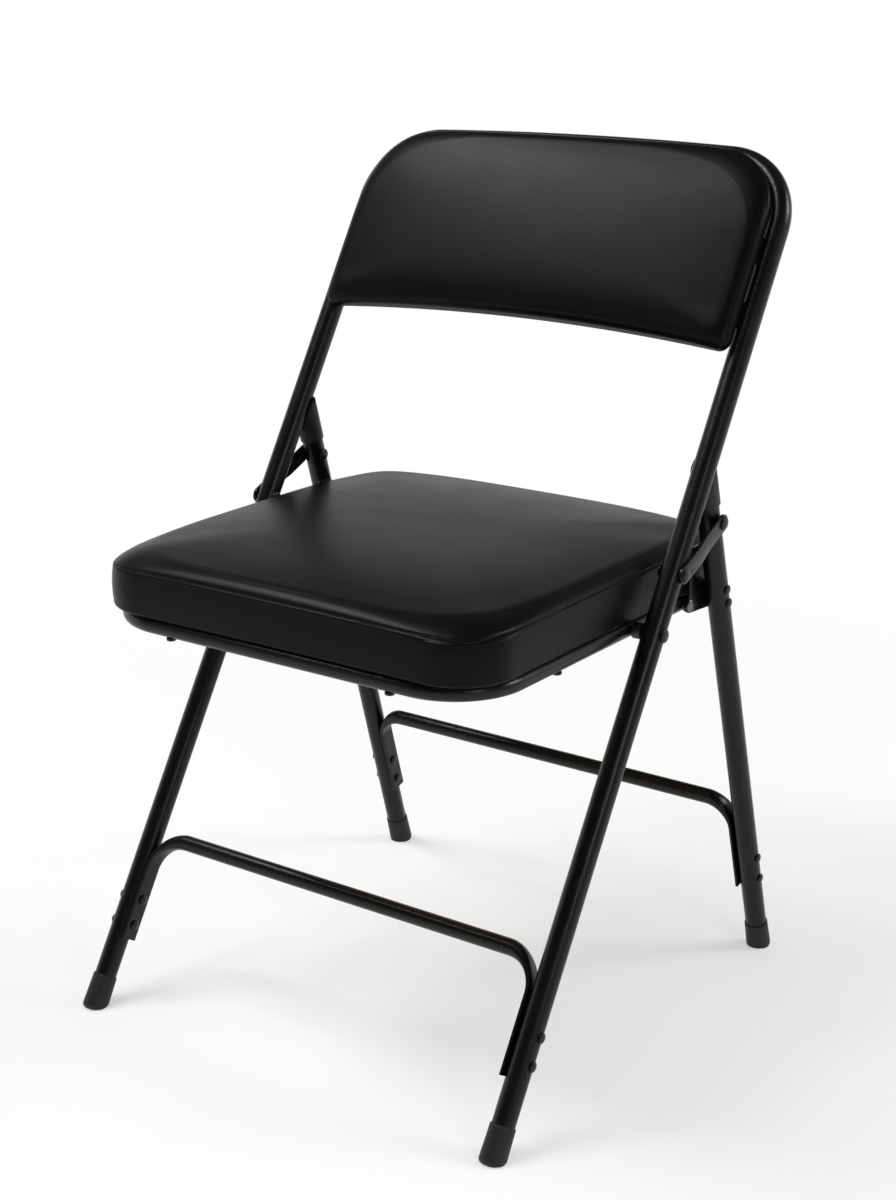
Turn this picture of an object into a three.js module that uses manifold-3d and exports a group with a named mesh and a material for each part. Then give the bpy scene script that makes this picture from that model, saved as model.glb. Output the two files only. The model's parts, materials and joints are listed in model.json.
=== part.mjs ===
// Padded folding chair: a bent steel front frame and two rear legs that fold flat round a padded seat.
// Millimetres, +Z up. The open chair faces -Y and its origin is on the floor, in the middle of its box.

import * as THREE from 'three';
import { mergeVertices } from 'three/addons/utils/BufferGeometryUtils.js';
import Module from 'manifold-3d';

// Stance of the open chair: depths run back from the front feet, heights run up from the floor
const frameHalfWidth = 222;
const frameHeight = 756.5;
const seatPivotDepth = 235;
const seatPivotHeight = 382.8;
const rearLegInset = 3.5;
const rearFootDepth = 467.7;
const rearTopDepth = 317.6;
const rearTopHeight = 507;

// Tubes
const legDiameter = 20;
const braceDiameter = 14.5;
const seatTubeDiameter = 14.5;
const topCornerRadius = 66;
const topBarRadius = 4200;

// Seat: its front is measured from its pivot on the front frame, its rear from its hinge on the
// rear legs, and that hinge from the legs' axis
const seatRingInset = 26.2;
const seatFrontReach = 225.6;
const seatRearOverhang = 76;
const seatCornerRadius = 60;
const seatHingeSetback = 32.37;

// Folding links, pinned at shares of the rise from the seat's pivot to where the legs meet
const linkFrontShare = 0.3522;
const linkRearShare = 0.5809;
const linkWidth = 15;
const linkThickness = 2.5;

// Fits: the gap between touching pieces, and how far a cutting shape runs past what it cuts
const clearance = 0.3;
const overrun = 4;

// Facets
const legSides = 20;
const tubeSides = 16;
const smallSides = 10;
const bendSteps = 7;
const topBarSteps = 4;
const toeSteps = 3;

const wasm = await Module();
wasm.setup();

const legRadius = legDiameter / 2;
const rearHalfWidth = frameHalfWidth - rearLegInset;
const seatHalfWidth = frameHalfWidth - seatRingInset;
const frontLean = Math.atan2(seatPivotDepth, seatPivotHeight);
const rearLean = Math.atan2(rearFootDepth - rearTopDepth, rearTopHeight);
const rearDepthAt = (height) => rearFootDepth - height * Math.tan(rearLean);
const legMeetHeight = rearFootDepth / (Math.tan(frontLean) + Math.tan(rearLean));
const linkFrontHeight = THREE.MathUtils.lerp(seatPivotHeight, legMeetHeight, linkFrontShare);
const linkRearHeight = THREE.MathUtils.lerp(seatPivotHeight, legMeetHeight, linkRearShare);
const seatHingeReach = rearDepthAt(seatPivotHeight) - seatHingeSetback - seatPivotDepth;
const seatRearReach = seatHingeReach + seatRearOverhang;

// Finishes seen on the chair
const enamel = { color: '#0c0c0d', roughness: 0.2, metalness: 0 };
const vinyl = { color: '#17181a', roughness: 0.42, metalness: 0 };
const footPlastic = { color: '#3a3b3d', roughness: 0.55, metalness: 0 };
const nylon = { color: '#141415', roughness: 0.5, metalness: 0 };
const zincPlate = { color: '#9a9b9c', roughness: 0.35, metalness: 1 };
const plywood = { color: '#a5825a', roughness: 0.8, metalness: 0 };

// Each frame has its own group, so its pieces are laid out along its tubes
const chair = new THREE.Group();
const frontFrame = new THREE.Group();
frontFrame.rotation.x = -frontLean;
const rearFrame = new THREE.Group();
rearFrame.position.y = rearFootDepth;
rearFrame.rotation.x = rearLean;
const seat = new THREE.Group();
seat.position.set(0, seatPivotDepth, seatPivotHeight);
chair.add(frontFrame, rearFrame, seat);
chair.updateMatrixWorld(true);

const alongFront = (height) => height / Math.cos(frontLean);
const alongRear = (height) => height / Math.cos(rearLean);
const sides = [['left', -1], ['right', 1]];

// Closed geometry to solid, with its faces turned outwards
function solid(geometry) {
  const bare = geometry.clone();
  bare.deleteAttribute('normal');
  bare.deleteAttribute('uv');
  const merged = mergeVertices(bare);
  const position = merged.attributes.position;
  const corners = [0, 1, 2].map(() => new THREE.Vector3());
  const faces = [];
  let volume = 0;
  for (let i = 0; i < merged.index.count; i += 3) {
    const face = [0, 1, 2].map((k) => merged.index.getX(i + k));
    if (new Set(face).size === 3) {
      corners.forEach((corner, k) => corner.fromBufferAttribute(position, face[k]));
      volume += corners[0].dot(corners[1].clone().cross(corners[2]));
      faces.push(face);
    }
  }
  const triVerts = new Uint32Array(faces.flatMap((face) => (volume < 0 ? face.reverse() : face)));
  const vertProperties = new Float32Array(position.array);
  return new wasm.Manifold(new wasm.Mesh({ numProp: 3, vertProperties, triVerts }));
}

function geometryOf(body) {
  const mesh = body.getMesh();
  const geometry = new THREE.BufferGeometry();
  geometry.setAttribute('position', new THREE.Float32BufferAttribute(mesh.vertProperties, 3));
  geometry.setIndex(Array.from(mesh.triVerts));
  geometry.computeVertexNormals();
  return geometry;
}

function addPiece(parent, name, body, finish) {
  const mesh = new THREE.Mesh(geometryOf(body), new THREE.MeshStandardMaterial(finish));
  mesh.name = name;
  parent.add(mesh);
}

// A geometry laid out in one group, seen from another
function seenFrom(group, home, geometry) {
  const matrix = group.matrixWorld.clone().invert().multiply(home.matrixWorld);
  return geometry.clone().applyMatrix4(matrix);
}

// Round bar across the chair, between two places on X
function crossBar(radius, start, end, facets = smallSides) {
  const bar = new THREE.CylinderGeometry(radius, radius, end - start, facets);
  return bar.rotateZ(Math.PI / 2).translate((start + end) / 2, 0, 0);
}

// Round bar up its group's Z, between two places
function post(radius, start, end, facets = legSides) {
  const bar = new THREE.CylinderGeometry(radius, radius, end - start, facets);
  return bar.rotateX(Math.PI / 2).translate(0, 0, (start + end) / 2);
}

// Plate cut from an outline drawn in depth and height, standing between two places on X
function sidePlate(outline, start, end) {
  const plate = new THREE.ExtrudeGeometry(outline, {
    depth: end - start, bevelEnabled: false, curveSegments: bendSteps,
  });
  const upright = new THREE.Matrix4().set(0, 0, 1, start, 1, 0, 0, 0, 0, 1, 0, 0, 0, 0, 0, 1);
  return plate.applyMatrix4(upright);
}

// A tube's centreline that gives an extrusion one section at each of its stations
class Centreline extends THREE.Curve {
  constructor(stations, lift) {
    super();
    this.points = stations.map((station) => lift(station.x, station.y));
    this.tangents = stations.map((station) => lift(station.along, station.across));
  }

  place(share) {
    return Math.round(share * (this.points.length - 1));
  }

  getPointAt(share, target = new THREE.Vector3()) {
    return target.copy(this.points[this.place(share)]);
  }

  getTangentAt(share, target = new THREE.Vector3()) {
    return target.copy(this.tangents[this.place(share)]).normalize();
  }
}

const vector = (x, y) => new THREE.Vector2(x, y);
const station = (x, y, along, across) => ({ x, y, along, across });

function arcStations(x, y, radius, start, end, steps = bendSteps) {
  const turn = Math.sign(end - start);
  return Array.from({ length: steps + 1 }, (_, i) => {
    const angle = start + (end - start) * i / steps;
    const [cos, sin] = [Math.cos(angle), Math.sin(angle)];
    return station(x + radius * cos, y + radius * sin, -turn * sin, turn * cos);
  });
}

function bentTube(stations, lift, radius, facets) {
  const section = new THREE.Shape(Array.from({ length: facets }, (_, i) => {
    const angle = 2 * Math.PI * i / facets;
    return new THREE.Vector2(radius * Math.cos(angle), radius * Math.sin(angle));
  }));
  const extrudePath = new Centreline(stations, lift);
  return new THREE.ExtrudeGeometry(section, { steps: stations.length - 1, extrudePath });
}

// Skin over a row of closed sections with equal numbers of points, with both ends filled
function loft(sections) {
  const count = sections[0].length;
  const sumOf = (section) => section.reduce((sum, p) => sum.add(p), new THREE.Vector3());
  const middle = (section) => sumOf(section).divideScalar(count);
  const vertices = [...sections.flat(), middle(sections[0]), middle(sections.at(-1))];
  const index = [];
  for (let ring = 0; ring < sections.length - 1; ring += 1) {
    for (let i = 0; i < count; i += 1) {
      const [a, b] = [ring * count + i, ring * count + (i + 1) % count];
      index.push(a, b, b + count, a, b + count, a + count);
    }
  }
  const last = (sections.length - 1) * count;
  for (let i = 0; i < count; i += 1) {
    const next = (i + 1) % count;
    index.push(vertices.length - 2, next, i, vertices.length - 1, last + i, last + next);
  }
  return new THREE.BufferGeometry().setFromPoints(vertices).setIndex(index);
}

// Rivet along X with a domed head on each side of what it holds
const rivetDomeSteps = 2;
function rivet(start, end, shank, head, dome) {
  const outline = [];
  for (let i = 0; i <= rivetDomeSteps; i += 1) {
    const angle = Math.PI / 2 * i / rivetDomeSteps;
    outline.push(new THREE.Vector2(head * Math.sin(angle), start - dome * Math.cos(angle)));
  }
  outline.push(new THREE.Vector2(shank, start), new THREE.Vector2(shank, end));
  for (let i = rivetDomeSteps; i >= 0; i -= 1) {
    const angle = Math.PI / 2 * i / rivetDomeSteps;
    outline.push(new THREE.Vector2(head * Math.sin(angle), end + dome * Math.cos(angle)));
  }
  return new THREE.LatheGeometry(outline, smallSides).rotateZ(-Math.PI / 2);
}

// Wood screw up Z: a domed head below its seat, and a shank with a pointed end
const screwHeadRadius = 4.2;
const screwHeadHeight = 2.4;
const screwShankRadius = 1.9;
const screwPoint = 3;
const screwHoleRadius = screwShankRadius + clearance;
function screw(length) {
  const outline = [
    [0, -clearance - screwHeadHeight],
    [screwHeadRadius * Math.SQRT1_2, -clearance - screwHeadHeight],
    [screwHeadRadius, -clearance - screwHeadHeight / 2],
    [screwHeadRadius, -clearance],
    [screwShankRadius, -clearance],
    [screwShankRadius, length - screwPoint],
    [0, length],
  ];
  return new THREE.LatheGeometry(outline.map((pair) => new THREE.Vector2(...pair)), smallSides)
    .rotateX(Math.PI / 2);
}

// Moulded foot: a cup over the tube's end, with a rounded sole cut flat where it meets the floor
const footWall = 1.3;
const footRimWall = 0.7;
const footHeight = 29;
const footFloor = 9.4;
const footRounding = 5;
const footToeShare = 0.7;
const footGapRadius = legRadius + clearance;
const footRadius = footGapRadius + footWall;
const footRimRadius = footGapRadius + footRimWall;
const tubeStart = footFloor + clearance;

function footCap(group, lean) {
  const sole = -footToeShare * footRadius * Math.tan(lean);
  const corner = new THREE.Path().absarc(
    footRadius - footRounding, sole + footRounding, footRounding, -Math.PI / 2, 0, false);
  const outline = [
    new THREE.Vector2(0, sole),
    ...corner.getPoints(toeSteps),
    new THREE.Vector2(footRimRadius, footHeight),
    new THREE.Vector2(footGapRadius, footHeight),
    new THREE.Vector2(footGapRadius, footFloor),
    new THREE.Vector2(0, footFloor),
  ];
  const cup = new THREE.LatheGeometry(outline, legSides).rotateX(Math.PI / 2);
  const depth = footRadius + overrun;
  const floor = new THREE.BoxGeometry(2 * depth, 2 * depth, 2 * depth).translate(0, 0, -depth);
  floor.applyMatrix4(new THREE.Matrix4().makeRotationX(-group.rotation.x));
  return solid(cup).subtract(solid(floor));
}

// Front frame tube: one inverted U, drawn in its own plane, with a slight rise in the top bar
const cornerHalfWidth = frameHalfWidth - topCornerRadius;
const topBarCentre = alongFront(frameHeight) - topBarRadius;
const topBarAngle = Math.asin(cornerHalfWidth / (topBarRadius - topCornerRadius));
const topCornerHeight = topBarCentre + (topBarRadius - topCornerRadius) * Math.cos(topBarAngle);
const frontPlane = (x, height) => new THREE.Vector3(x, 0, height);
const frontStations = [
  station(-frameHalfWidth, tubeStart, 0, 1),
  ...arcStations(-cornerHalfWidth, topCornerHeight, topCornerRadius, Math.PI, Math.PI / 2 + topBarAngle),
  ...arcStations(0, topBarCentre, topBarRadius,
    Math.PI / 2 + topBarAngle, Math.PI / 2 - topBarAngle, topBarSteps).slice(1, -1),
  ...arcStations(cornerHalfWidth, topCornerHeight, topCornerRadius, Math.PI / 2 - topBarAngle, 0),
  station(frameHalfWidth, tubeStart, 0, -1),
];

// Braces: a round tube bent down at both ends and pressed flat where it is riveted inside the legs
const flatHalfWidth = 9;
const flatHalfThickness = 1.5;
const roundPower = 1;
const flatPower = 0.4;

function braceSection(x, height, tilt, flat) {
  const ease = flat * flat * (3 - 2 * flat);
  const thick = THREE.MathUtils.lerp(braceDiameter / 2, flatHalfThickness, ease);
  const wide = THREE.MathUtils.lerp(braceDiameter / 2, flatHalfWidth, ease);
  const power = THREE.MathUtils.lerp(roundPower, flatPower, ease);
  return Array.from({ length: tubeSides }, (_, i) => {
    const angle = 2 * Math.PI * (i + 1 / 2) / tubeSides;
    const [cos, sin] = [Math.cos(angle), Math.sin(angle)];
    const across = thick * Math.sign(cos) * Math.abs(cos) ** power;
    const depth = wide * Math.sign(sin) * Math.abs(sin) ** power;
    return new THREE.Vector3(x + across * Math.cos(tilt), depth, height + across * Math.sin(tilt));
  });
}

function brace(legHalfWidth, barHeight, bendRadius, endHeight) {
  const flatX = legHalfWidth - legRadius - clearance - flatHalfThickness;
  const bendX = flatX - bendRadius;
  const half = [braceSection(flatX, endHeight, 0, 1)];
  for (let i = 0; i <= bendSteps; i += 1) {
    const angle = Math.PI / 2 * i / bendSteps;
    const x = bendX + bendRadius * Math.cos(angle);
    const height = barHeight - bendRadius * (1 - Math.sin(angle));
    half.push(braceSection(x, height, angle, 1 - i / bendSteps));
  }
  const mirrored = half.map((section) => section.map((p) => new THREE.Vector3(-p.x, p.y, p.z)));
  return solid(loft([...half, ...mirrored.reverse()]));
}

// Brace rivets: a pair through each leg and the flattened end inside it
const braceRivetShank = 2.4;
const braceRivetHead = 4.6;
const braceRivetDome = 1.8;

function braceRivets(group, label, legHalfWidth, heights) {
  const inside = legHalfWidth - legRadius - 2 * (clearance + flatHalfThickness);
  const outside = legHalfWidth + legRadius + clearance;
  const drill = crossBar(braceRivetShank + clearance, inside - overrun, outside + overrun);
  const pin = rivet(inside - clearance, outside, braceRivetShank, braceRivetHead, braceRivetDome);
  const holes = { left: [], right: [] };
  for (const [side, sign] of sides) {
    heights.forEach((height, row) => {
      const placed = (geometry) => solid(geometry.clone().scale(sign, 1, 1).translate(0, 0, height));
      holes[side].push(placed(drill));
      addPiece(group, `${label}_brace_rivet_${side}_${row + 1}`, placed(pin), enamel);
    });
  }
  return holes;
}

// Half of a rivet: a domed head on one face, and a shank that stops at its tip, with or without a
// collar under the tip
function stud(face, tip, shank, head, dome, collar = 0) {
  const seating = tip - Math.sign(tip - face) * collar;
  const outline = [vector(0, tip)];
  if (collar > 0) {
    outline.push(vector(head, tip), vector(head, seating));
  }
  outline.push(vector(shank, seating), vector(shank, face));
  for (let i = rivetDomeSteps; i >= 0; i -= 1) {
    const angle = Math.PI / 2 * i / rivetDomeSteps;
    outline.push(vector(head * Math.sin(angle), face + Math.sign(face - tip) * dome * Math.cos(angle)));
  }
  return new THREE.LatheGeometry(outline, smallSides).rotateZ(-Math.PI / 2);
}

const drilled = (body, holes) => holes.reduce((rest, hole) => rest.subtract(hole), body);

const frontBraceHeight = 141.6;
const frontBraceBend = 32;
const frontBraceDrop = 100;
const frontRivetRises = [38, 14];
const frontBraceReach = alongFront(frontBraceHeight);
const frontBraceEnd = frontBraceReach - frontBraceDrop;
const frontRivetHeights = frontRivetRises.map((rise) => frontBraceEnd + rise);
const frontHoles = braceRivets(frontFrame, 'front', frameHalfWidth, frontRivetHeights);
const frontBar = brace(frameHalfWidth, frontBraceReach, frontBraceBend, frontBraceEnd);
addPiece(frontFrame, 'front_brace', drilled(frontBar, [...frontHoles.left, ...frontHoles.right]), enamel);

// Pivots of the fold: the seat and the links hang on rivets through the front frame's tubes
const pivotShank = 3;
const pivotHead = 6;
const pivotDome = 2.2;
const seatTubeRadius = seatTubeDiameter / 2;
const seatInside = seatHalfWidth - seatTubeRadius;
const seatOutside = seatHalfWidth + seatTubeRadius;
const frontInside = frameHalfWidth - legRadius;
const frontOutside = frameHalfWidth + legRadius;
const rearInside = rearHalfWidth - legRadius;
const rearOutside = rearHalfWidth + legRadius;
const capWall = 1.2;
const linkFrontFace = frontOutside + clearance;
const linkRearFace = rearOutside + capWall + 2 * clearance;

function pivotDrill(start, end) {
  return crossBar(pivotShank + clearance, start - overrun, end + overrun);
}

const seatPivotReach = alongFront(seatPivotHeight);
const linkPivotReach = alongFront(linkFrontHeight);
const frontDrills = [];
for (const [side, sign] of sides) {
  const seatPin = rivet(seatInside - clearance, frontOutside + clearance, pivotShank, pivotHead, pivotDome);
  seatPin.scale(sign, 1, 1).translate(0, 0, seatPivotReach);
  addPiece(frontFrame, `seat_pivot_rivet_${side}`, solid(seatPin), enamel);
  const linkPin = rivet(frontInside - clearance, linkFrontFace + linkThickness + clearance,
    pivotShank, pivotHead, pivotDome);
  linkPin.scale(sign, 1, 1).translate(0, 0, linkPivotReach);
  addPiece(frontFrame, `link_front_rivet_${side}`, solid(linkPin), enamel);
  for (const height of [seatPivotReach, linkPivotReach]) {
    const drill = pivotDrill(frontInside, frontOutside);
    frontDrills.push(solid(drill.scale(sign, 1, 1).translate(0, 0, height)));
  }
  const foot = footCap(frontFrame, frontLean).translate(sign * frameHalfWidth, 0, 0);
  addPiece(frontFrame, `front_foot_${side}`, foot, footPlastic);
}
const frontTube = solid(bentTube(frontStations, frontPlane, legRadius, legSides));
const allFrontHoles = [...frontHoles.left, ...frontHoles.right, ...frontDrills];
addPiece(frontFrame, 'front_frame_tube', drilled(frontTube, allFrontHoles), enamel);

// Outline of a padded piece from its four corners, first the +X +Y one and then anticlockwise.
// The edge after each corner may bow inwards.
function outlineOf(corners, bows, edgeSteps) {
  const arcs = corners.map(([x, y, radius], i) => {
    const start = i * Math.PI / 2;
    return arcStations(x, y, radius, start, start + Math.PI / 2, bendSteps - 1).map((p) => vector(p.x, p.y));
  });
  return arcs.flatMap((arc, i) => {
    const [from, to] = [arc.at(-1), arcs[(i + 1) % arcs.length][0]];
    const inwards = vector(from.y - to.y, to.x - from.x).normalize();
    const edge = Array.from({ length: edgeSteps - 1 }, (_, k) => {
      const share = (k + 1) / edgeSteps;
      return from.clone().lerp(to, share).addScaledVector(inwards, 4 * bows[i] * share * (1 - share));
    });
    return [...arc, ...edge];
  });
}

// A padded piece's rings keep its outline and step in from its edge, then close over its crown
const crownShares = [1, 0.93, 0.8, 0.62, 0.42, 0.2];
class Pad {
  constructor(outline, lift) {
    this.outline = outline;
    this.lift = lift;
    this.halfX = Math.max(...outline.map((p) => p.x));
    this.halfY = Math.max(...outline.map((p) => p.y));
  }

  ring(inset, height) {
    const [shareX, shareY] = [1 - inset / this.halfX, 1 - inset / this.halfY];
    return this.outline.map((p) => this.lift(p.x * shareX, p.y * shareY, height));
  }

  crownRing(inset, share, depth, crown) {
    const [flatX, flatY] = [this.halfX - inset, this.halfY - inset];
    return this.outline.map((p) => {
      const [x, y] = [p.x * flatX / this.halfX * share, p.y * flatY / this.halfY * share];
      const dome = crown * (1 - (x / flatX) ** 2) * (1 - (y / flatY) ** 2);
      return this.lift(x, y, depth + dome);
    });
  }

  board(inset, thickness) {
    return solid(loft([this.ring(inset + clearance, 0), this.ring(inset + clearance, thickness)]));
  }

  cushion(profileShares, roll, depth, crown, pocketInset, pocketDepth) {
    return solid(loft([
      this.ring(pocketInset, pocketDepth + clearance),
      this.ring(pocketInset, 0),
      ...profileShares.map(([inset, height]) => this.ring(inset * roll, height * depth)),
      ...crownShares.map((share) => this.crownRing(roll, share, depth, crown)),
    ]));
  }
}

// Seat ring: one round tube bent into a level loop and joined in the middle of its rear bar
const ringPlane = (x, y) => new THREE.Vector3(x, y, 0);
const ringCornerX = seatHalfWidth - seatCornerRadius;
const ringFrontY = -seatFrontReach + seatCornerRadius;
const ringRearY = seatRearReach - seatCornerRadius;
const ringStations = [
  station(0, -seatFrontReach, 1, 0),
  ...arcStations(ringCornerX, ringFrontY, seatCornerRadius, -Math.PI / 2, 0),
  ...arcStations(ringCornerX, ringRearY, seatCornerRadius, 0, Math.PI / 2),
  station(0, seatRearReach, -1, 0),
];
const ringHalf = bentTube(ringStations, ringPlane, seatTubeRadius, tubeSides);
const ring = solid(ringHalf).add(solid(ringHalf.clone().scale(-1, 1, 1)));

// Screws come up through the ring into the seat board
const screwBite = 7;
const endScrewShare = 0.85;
const sideScrewShare = 0.66;
const screwReach = seatTubeDiameter + screwBite;
const endScrewX = endScrewShare * ringCornerX;
const sideScrewY = sideScrewShare * ringFrontY;
const seatScrews = [
  ['front', endScrewX, -seatFrontReach],
  ['side', seatHalfWidth, sideScrewY],
  ['rear', endScrewX, seatRearReach],
];
const ringDrills = [];
const boardDrills = [];
for (const [side, sign] of sides) {
  for (const [place, x, y] of seatScrews) {
    const set = (geometry) => solid(geometry.translate(sign * x, y, -seatTubeRadius));
    addPiece(seat, `seat_screw_${place}_${side}`, set(screw(screwReach)), zincPlate);
    ringDrills.push(set(post(screwHoleRadius, -overrun, seatTubeDiameter + clearance / 2, smallSides)));
    boardDrills.push(set(post(screwHoleRadius, seatTubeDiameter, screwReach + clearance, smallSides)));
  }
}

// Seat pad: foam and vinyl over a plywood board, flush with the ring, with a rolled seam round its top
const seatPadOverhang = 0.3;
const seatPadRearOverhang = 6.7;
const seatPadCornerRadius = 51;
const seatPadDepth = 47.6;
const seatPadRoll = 12;
const seatPadCrown = 8;
const seatPadDrawIn = 1.2;
const seatBoardInset = 3;
const seatBoardThickness = 10;
const padHalfX = seatOutside + seatPadOverhang;
const padFront = seatFrontReach + seatTubeRadius + seatPadOverhang;
const padRear = seatRearReach + seatTubeRadius + seatPadRearOverhang;
const padHalfY = (padFront + padRear) / 2;
const padMiddle = (padRear - padFront) / 2;
const padCornerX = padHalfX - seatPadCornerRadius;
const padCornerY = padHalfY - seatPadCornerRadius;
const edgeSteps = 6;
const seatCorners = [[1, 1], [-1, 1], [-1, -1], [1, -1]].map(([signX, signY]) => (
  [signX * padCornerX, signY * padCornerY, seatPadCornerRadius]));
const seatBows = seatCorners.map(() => seatPadDrawIn);
const seatOutline = outlineOf(seatCorners, seatBows, edgeSteps);
const padLift = (x, y, height) => new THREE.Vector3(x, padMiddle + y, seatTubeRadius + clearance + height);
const seatPad = new Pad(seatOutline, padLift);
const seatPadShares = [
  [0.05, 0], [0, 0.05], [0.08, 0.35], [0.12, 0.6], [0.03, 0.82],
  [0, 0.9], [0.12, 0.965], [0.36, 1], [0.6, 0.985], [0.78, 1],
];
const seatCushion = seatPad.cushion(seatPadShares, seatPadRoll, seatPadDepth, seatPadCrown,
  seatBoardInset, seatBoardThickness);
addPiece(seat, 'seat_cushion', seatCushion, vinyl);
const seatBoard = seatPad.board(seatBoardInset, seatBoardThickness);
addPiece(seat, 'seat_board', drilled(seatBoard, boardDrills), plywood);

// Hinges between the seat and the rear legs: a rivet, a washer and a plate riveted inside each leg
const washerRadius = 6;
const spacerRadius = 7;
const plateThickness = 2.3;
const plateRim = 6.8;
const plateRivetRises = [10.7, -2.4];
const plateRivetShank = 2.4;
const plateRivetHead = 4.4;
const plateRivetDome = 1.7;
const earHeightShare = 0.682;
const earFront = -2;
const earRear = 16;
const earCorner = 4;
const neckRear = 7;
const neckShare = 0.391;
const shoulderShare = 0.19;
const plateOuter = rearInside - clearance;
const plateInner = plateOuter - plateThickness;

const hingePlace = new THREE.Group();
hingePlace.position.set(0, seatPivotDepth + seatHingeReach, seatPivotHeight);
chair.add(hingePlace);
chair.updateMatrixWorld(true);
const plateRivets = plateRivetRises.map((rise) => (
  vector(rearDepthAt(seatPivotHeight + rise) - hingePlace.position.y, rise)));

function hingePlate() {
  const [upper, lower] = plateRivets;
  const lobeTop = Math.acos(earFront / plateRim);
  const plateTop = upper.y + plateRim;
  const earTop = earHeightShare * (linkRearHeight - seatPivotHeight);
  const neckTop = THREE.MathUtils.lerp(plateTop, earTop, neckShare);
  const shoulder = THREE.MathUtils.lerp(neckTop, earTop, shoulderShare);
  const corner = Math.min(earCorner, (earTop - shoulder) / 2);
  const outline = new THREE.Shape();
  outline.absarc(0, 0, plateRim, lobeTop, 3 / 2 * Math.PI, false);
  outline.absarc(lower.x, lower.y, plateRim, -Math.PI / 2, 0, false);
  outline.absarc(upper.x, upper.y, plateRim, 0, Math.PI / 2, false);
  outline.lineTo(neckRear, plateTop);
  outline.lineTo(neckRear, neckTop);
  outline.lineTo(earRear, shoulder);
  outline.absarc(earRear - corner, earTop - corner, corner, 0, Math.PI / 2, false);
  outline.absarc(earFront + corner, earTop - corner, corner, Math.PI / 2, Math.PI, false);
  outline.closePath();
  return outline;
}

const rearLegDrills = { left: [], right: [] };
for (const [side, sign] of sides) {
  const set = (geometry, y, z) => solid(geometry.scale(sign, 1, 1).translate(0, y, z));
  const hingeHole = set(pivotDrill(seatInside, plateOuter), 0, 0);
  let plate = solid(sidePlate(hingePlate(), plateInner, plateOuter).scale(sign, 1, 1)).subtract(hingeHole);
  plateRivets.forEach(({ x, y }, row) => {
    const start = plateInner - clearance;
    const end = rearOutside + clearance;
    const drill = crossBar(plateRivetShank + clearance, start - overrun, end + overrun);
    drill.scale(sign, 1, 1).translate(0, x, y);
    plate = plate.subtract(solid(drill));
    rearLegDrills[side].push(solid(seenFrom(rearFrame, hingePlace, drill)));
    const pin = rivet(start, end, plateRivetShank, plateRivetHead, plateRivetDome);
    addPiece(hingePlace, `hinge_plate_rivet_${side}_${row + 1}`, set(pin, x, y), enamel);
  });
  addPiece(hingePlace, `hinge_plate_${side}`, plate, enamel);

  const hinge = rivet(seatInside - clearance, plateOuter + clearance, pivotShank, pivotHead, pivotDome);
  addPiece(seat, `hinge_rivet_${side}`, set(hinge, seatHingeReach, 0), zincPlate);
  const washer = crossBar(washerRadius, seatOutside + clearance, plateInner - clearance, tubeSides);
  const washerHole = set(pivotDrill(seatOutside, plateInner), seatHingeReach, 0);
  addPiece(seat, `hinge_washer_${side}`, set(washer, seatHingeReach, 0).subtract(washerHole), nylon);
  const spacer = crossBar(spacerRadius, seatOutside + clearance, frontInside - clearance, tubeSides);
  const spacerHole = set(pivotDrill(seatOutside, frontInside), 0, 0);
  addPiece(seat, `seat_pivot_spacer_${side}`, set(spacer, 0, 0).subtract(spacerHole), nylon);
  ringDrills.push(set(pivotDrill(seatInside, seatOutside), 0, 0));
  ringDrills.push(set(pivotDrill(seatInside, seatOutside), seatHingeReach, 0));
}
addPiece(seat, 'seat_ring', drilled(ring, ringDrills), enamel);

// Rear legs: each top end is coped round the front tube, and wears a plastic cap that rests on it
const capLengthShare = 0.709;
const capEnd = 2.5;
const saddleWrap = 4;
const legMeet = alongRear(legMeetHeight);
const capBottom = alongRear(THREE.MathUtils.lerp(legMeetHeight, linkRearHeight, capLengthShare));
const rearBraceHeight = 163.6;
const rearBraceBend = 26;
const rearBraceDrop = 96;
const rearRivetRises = [35, 10.7];
const rearBraceReach = alongRear(rearBraceHeight);
const rearBraceEnd = rearBraceReach - rearBraceDrop;
const rearRivetHeights = rearRivetRises.map((rise) => rearBraceEnd + rise);
const rearHoles = braceRivets(rearFrame, 'rear', rearHalfWidth, rearRivetHeights);
const rearBar = brace(rearHalfWidth, rearBraceReach, rearBraceBend, rearBraceEnd);
addPiece(rearFrame, 'rear_brace', drilled(rearBar, [...rearHoles.left, ...rearHoles.right]), enamel);

// The front tube as a cutter, grown by a gap, with all that lies past it
function saddle(sign, gap) {
  const radius = legRadius + gap;
  const past = saddleWrap + gap - clearance;
  const tube = post(radius, 0, 2 * legMeet).translate(sign * frameHalfWidth, 0, 0);
  const block = new THREE.BoxGeometry(4 * radius, 4 * radius, 2 * legMeet);
  block.translate(sign * frameHalfWidth, past - 2 * radius, legMeet);
  const cutter = (geometry) => solid(seenFrom(rearFrame, frontFrame, geometry));
  return cutter(tube).add(cutter(block));
}

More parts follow.
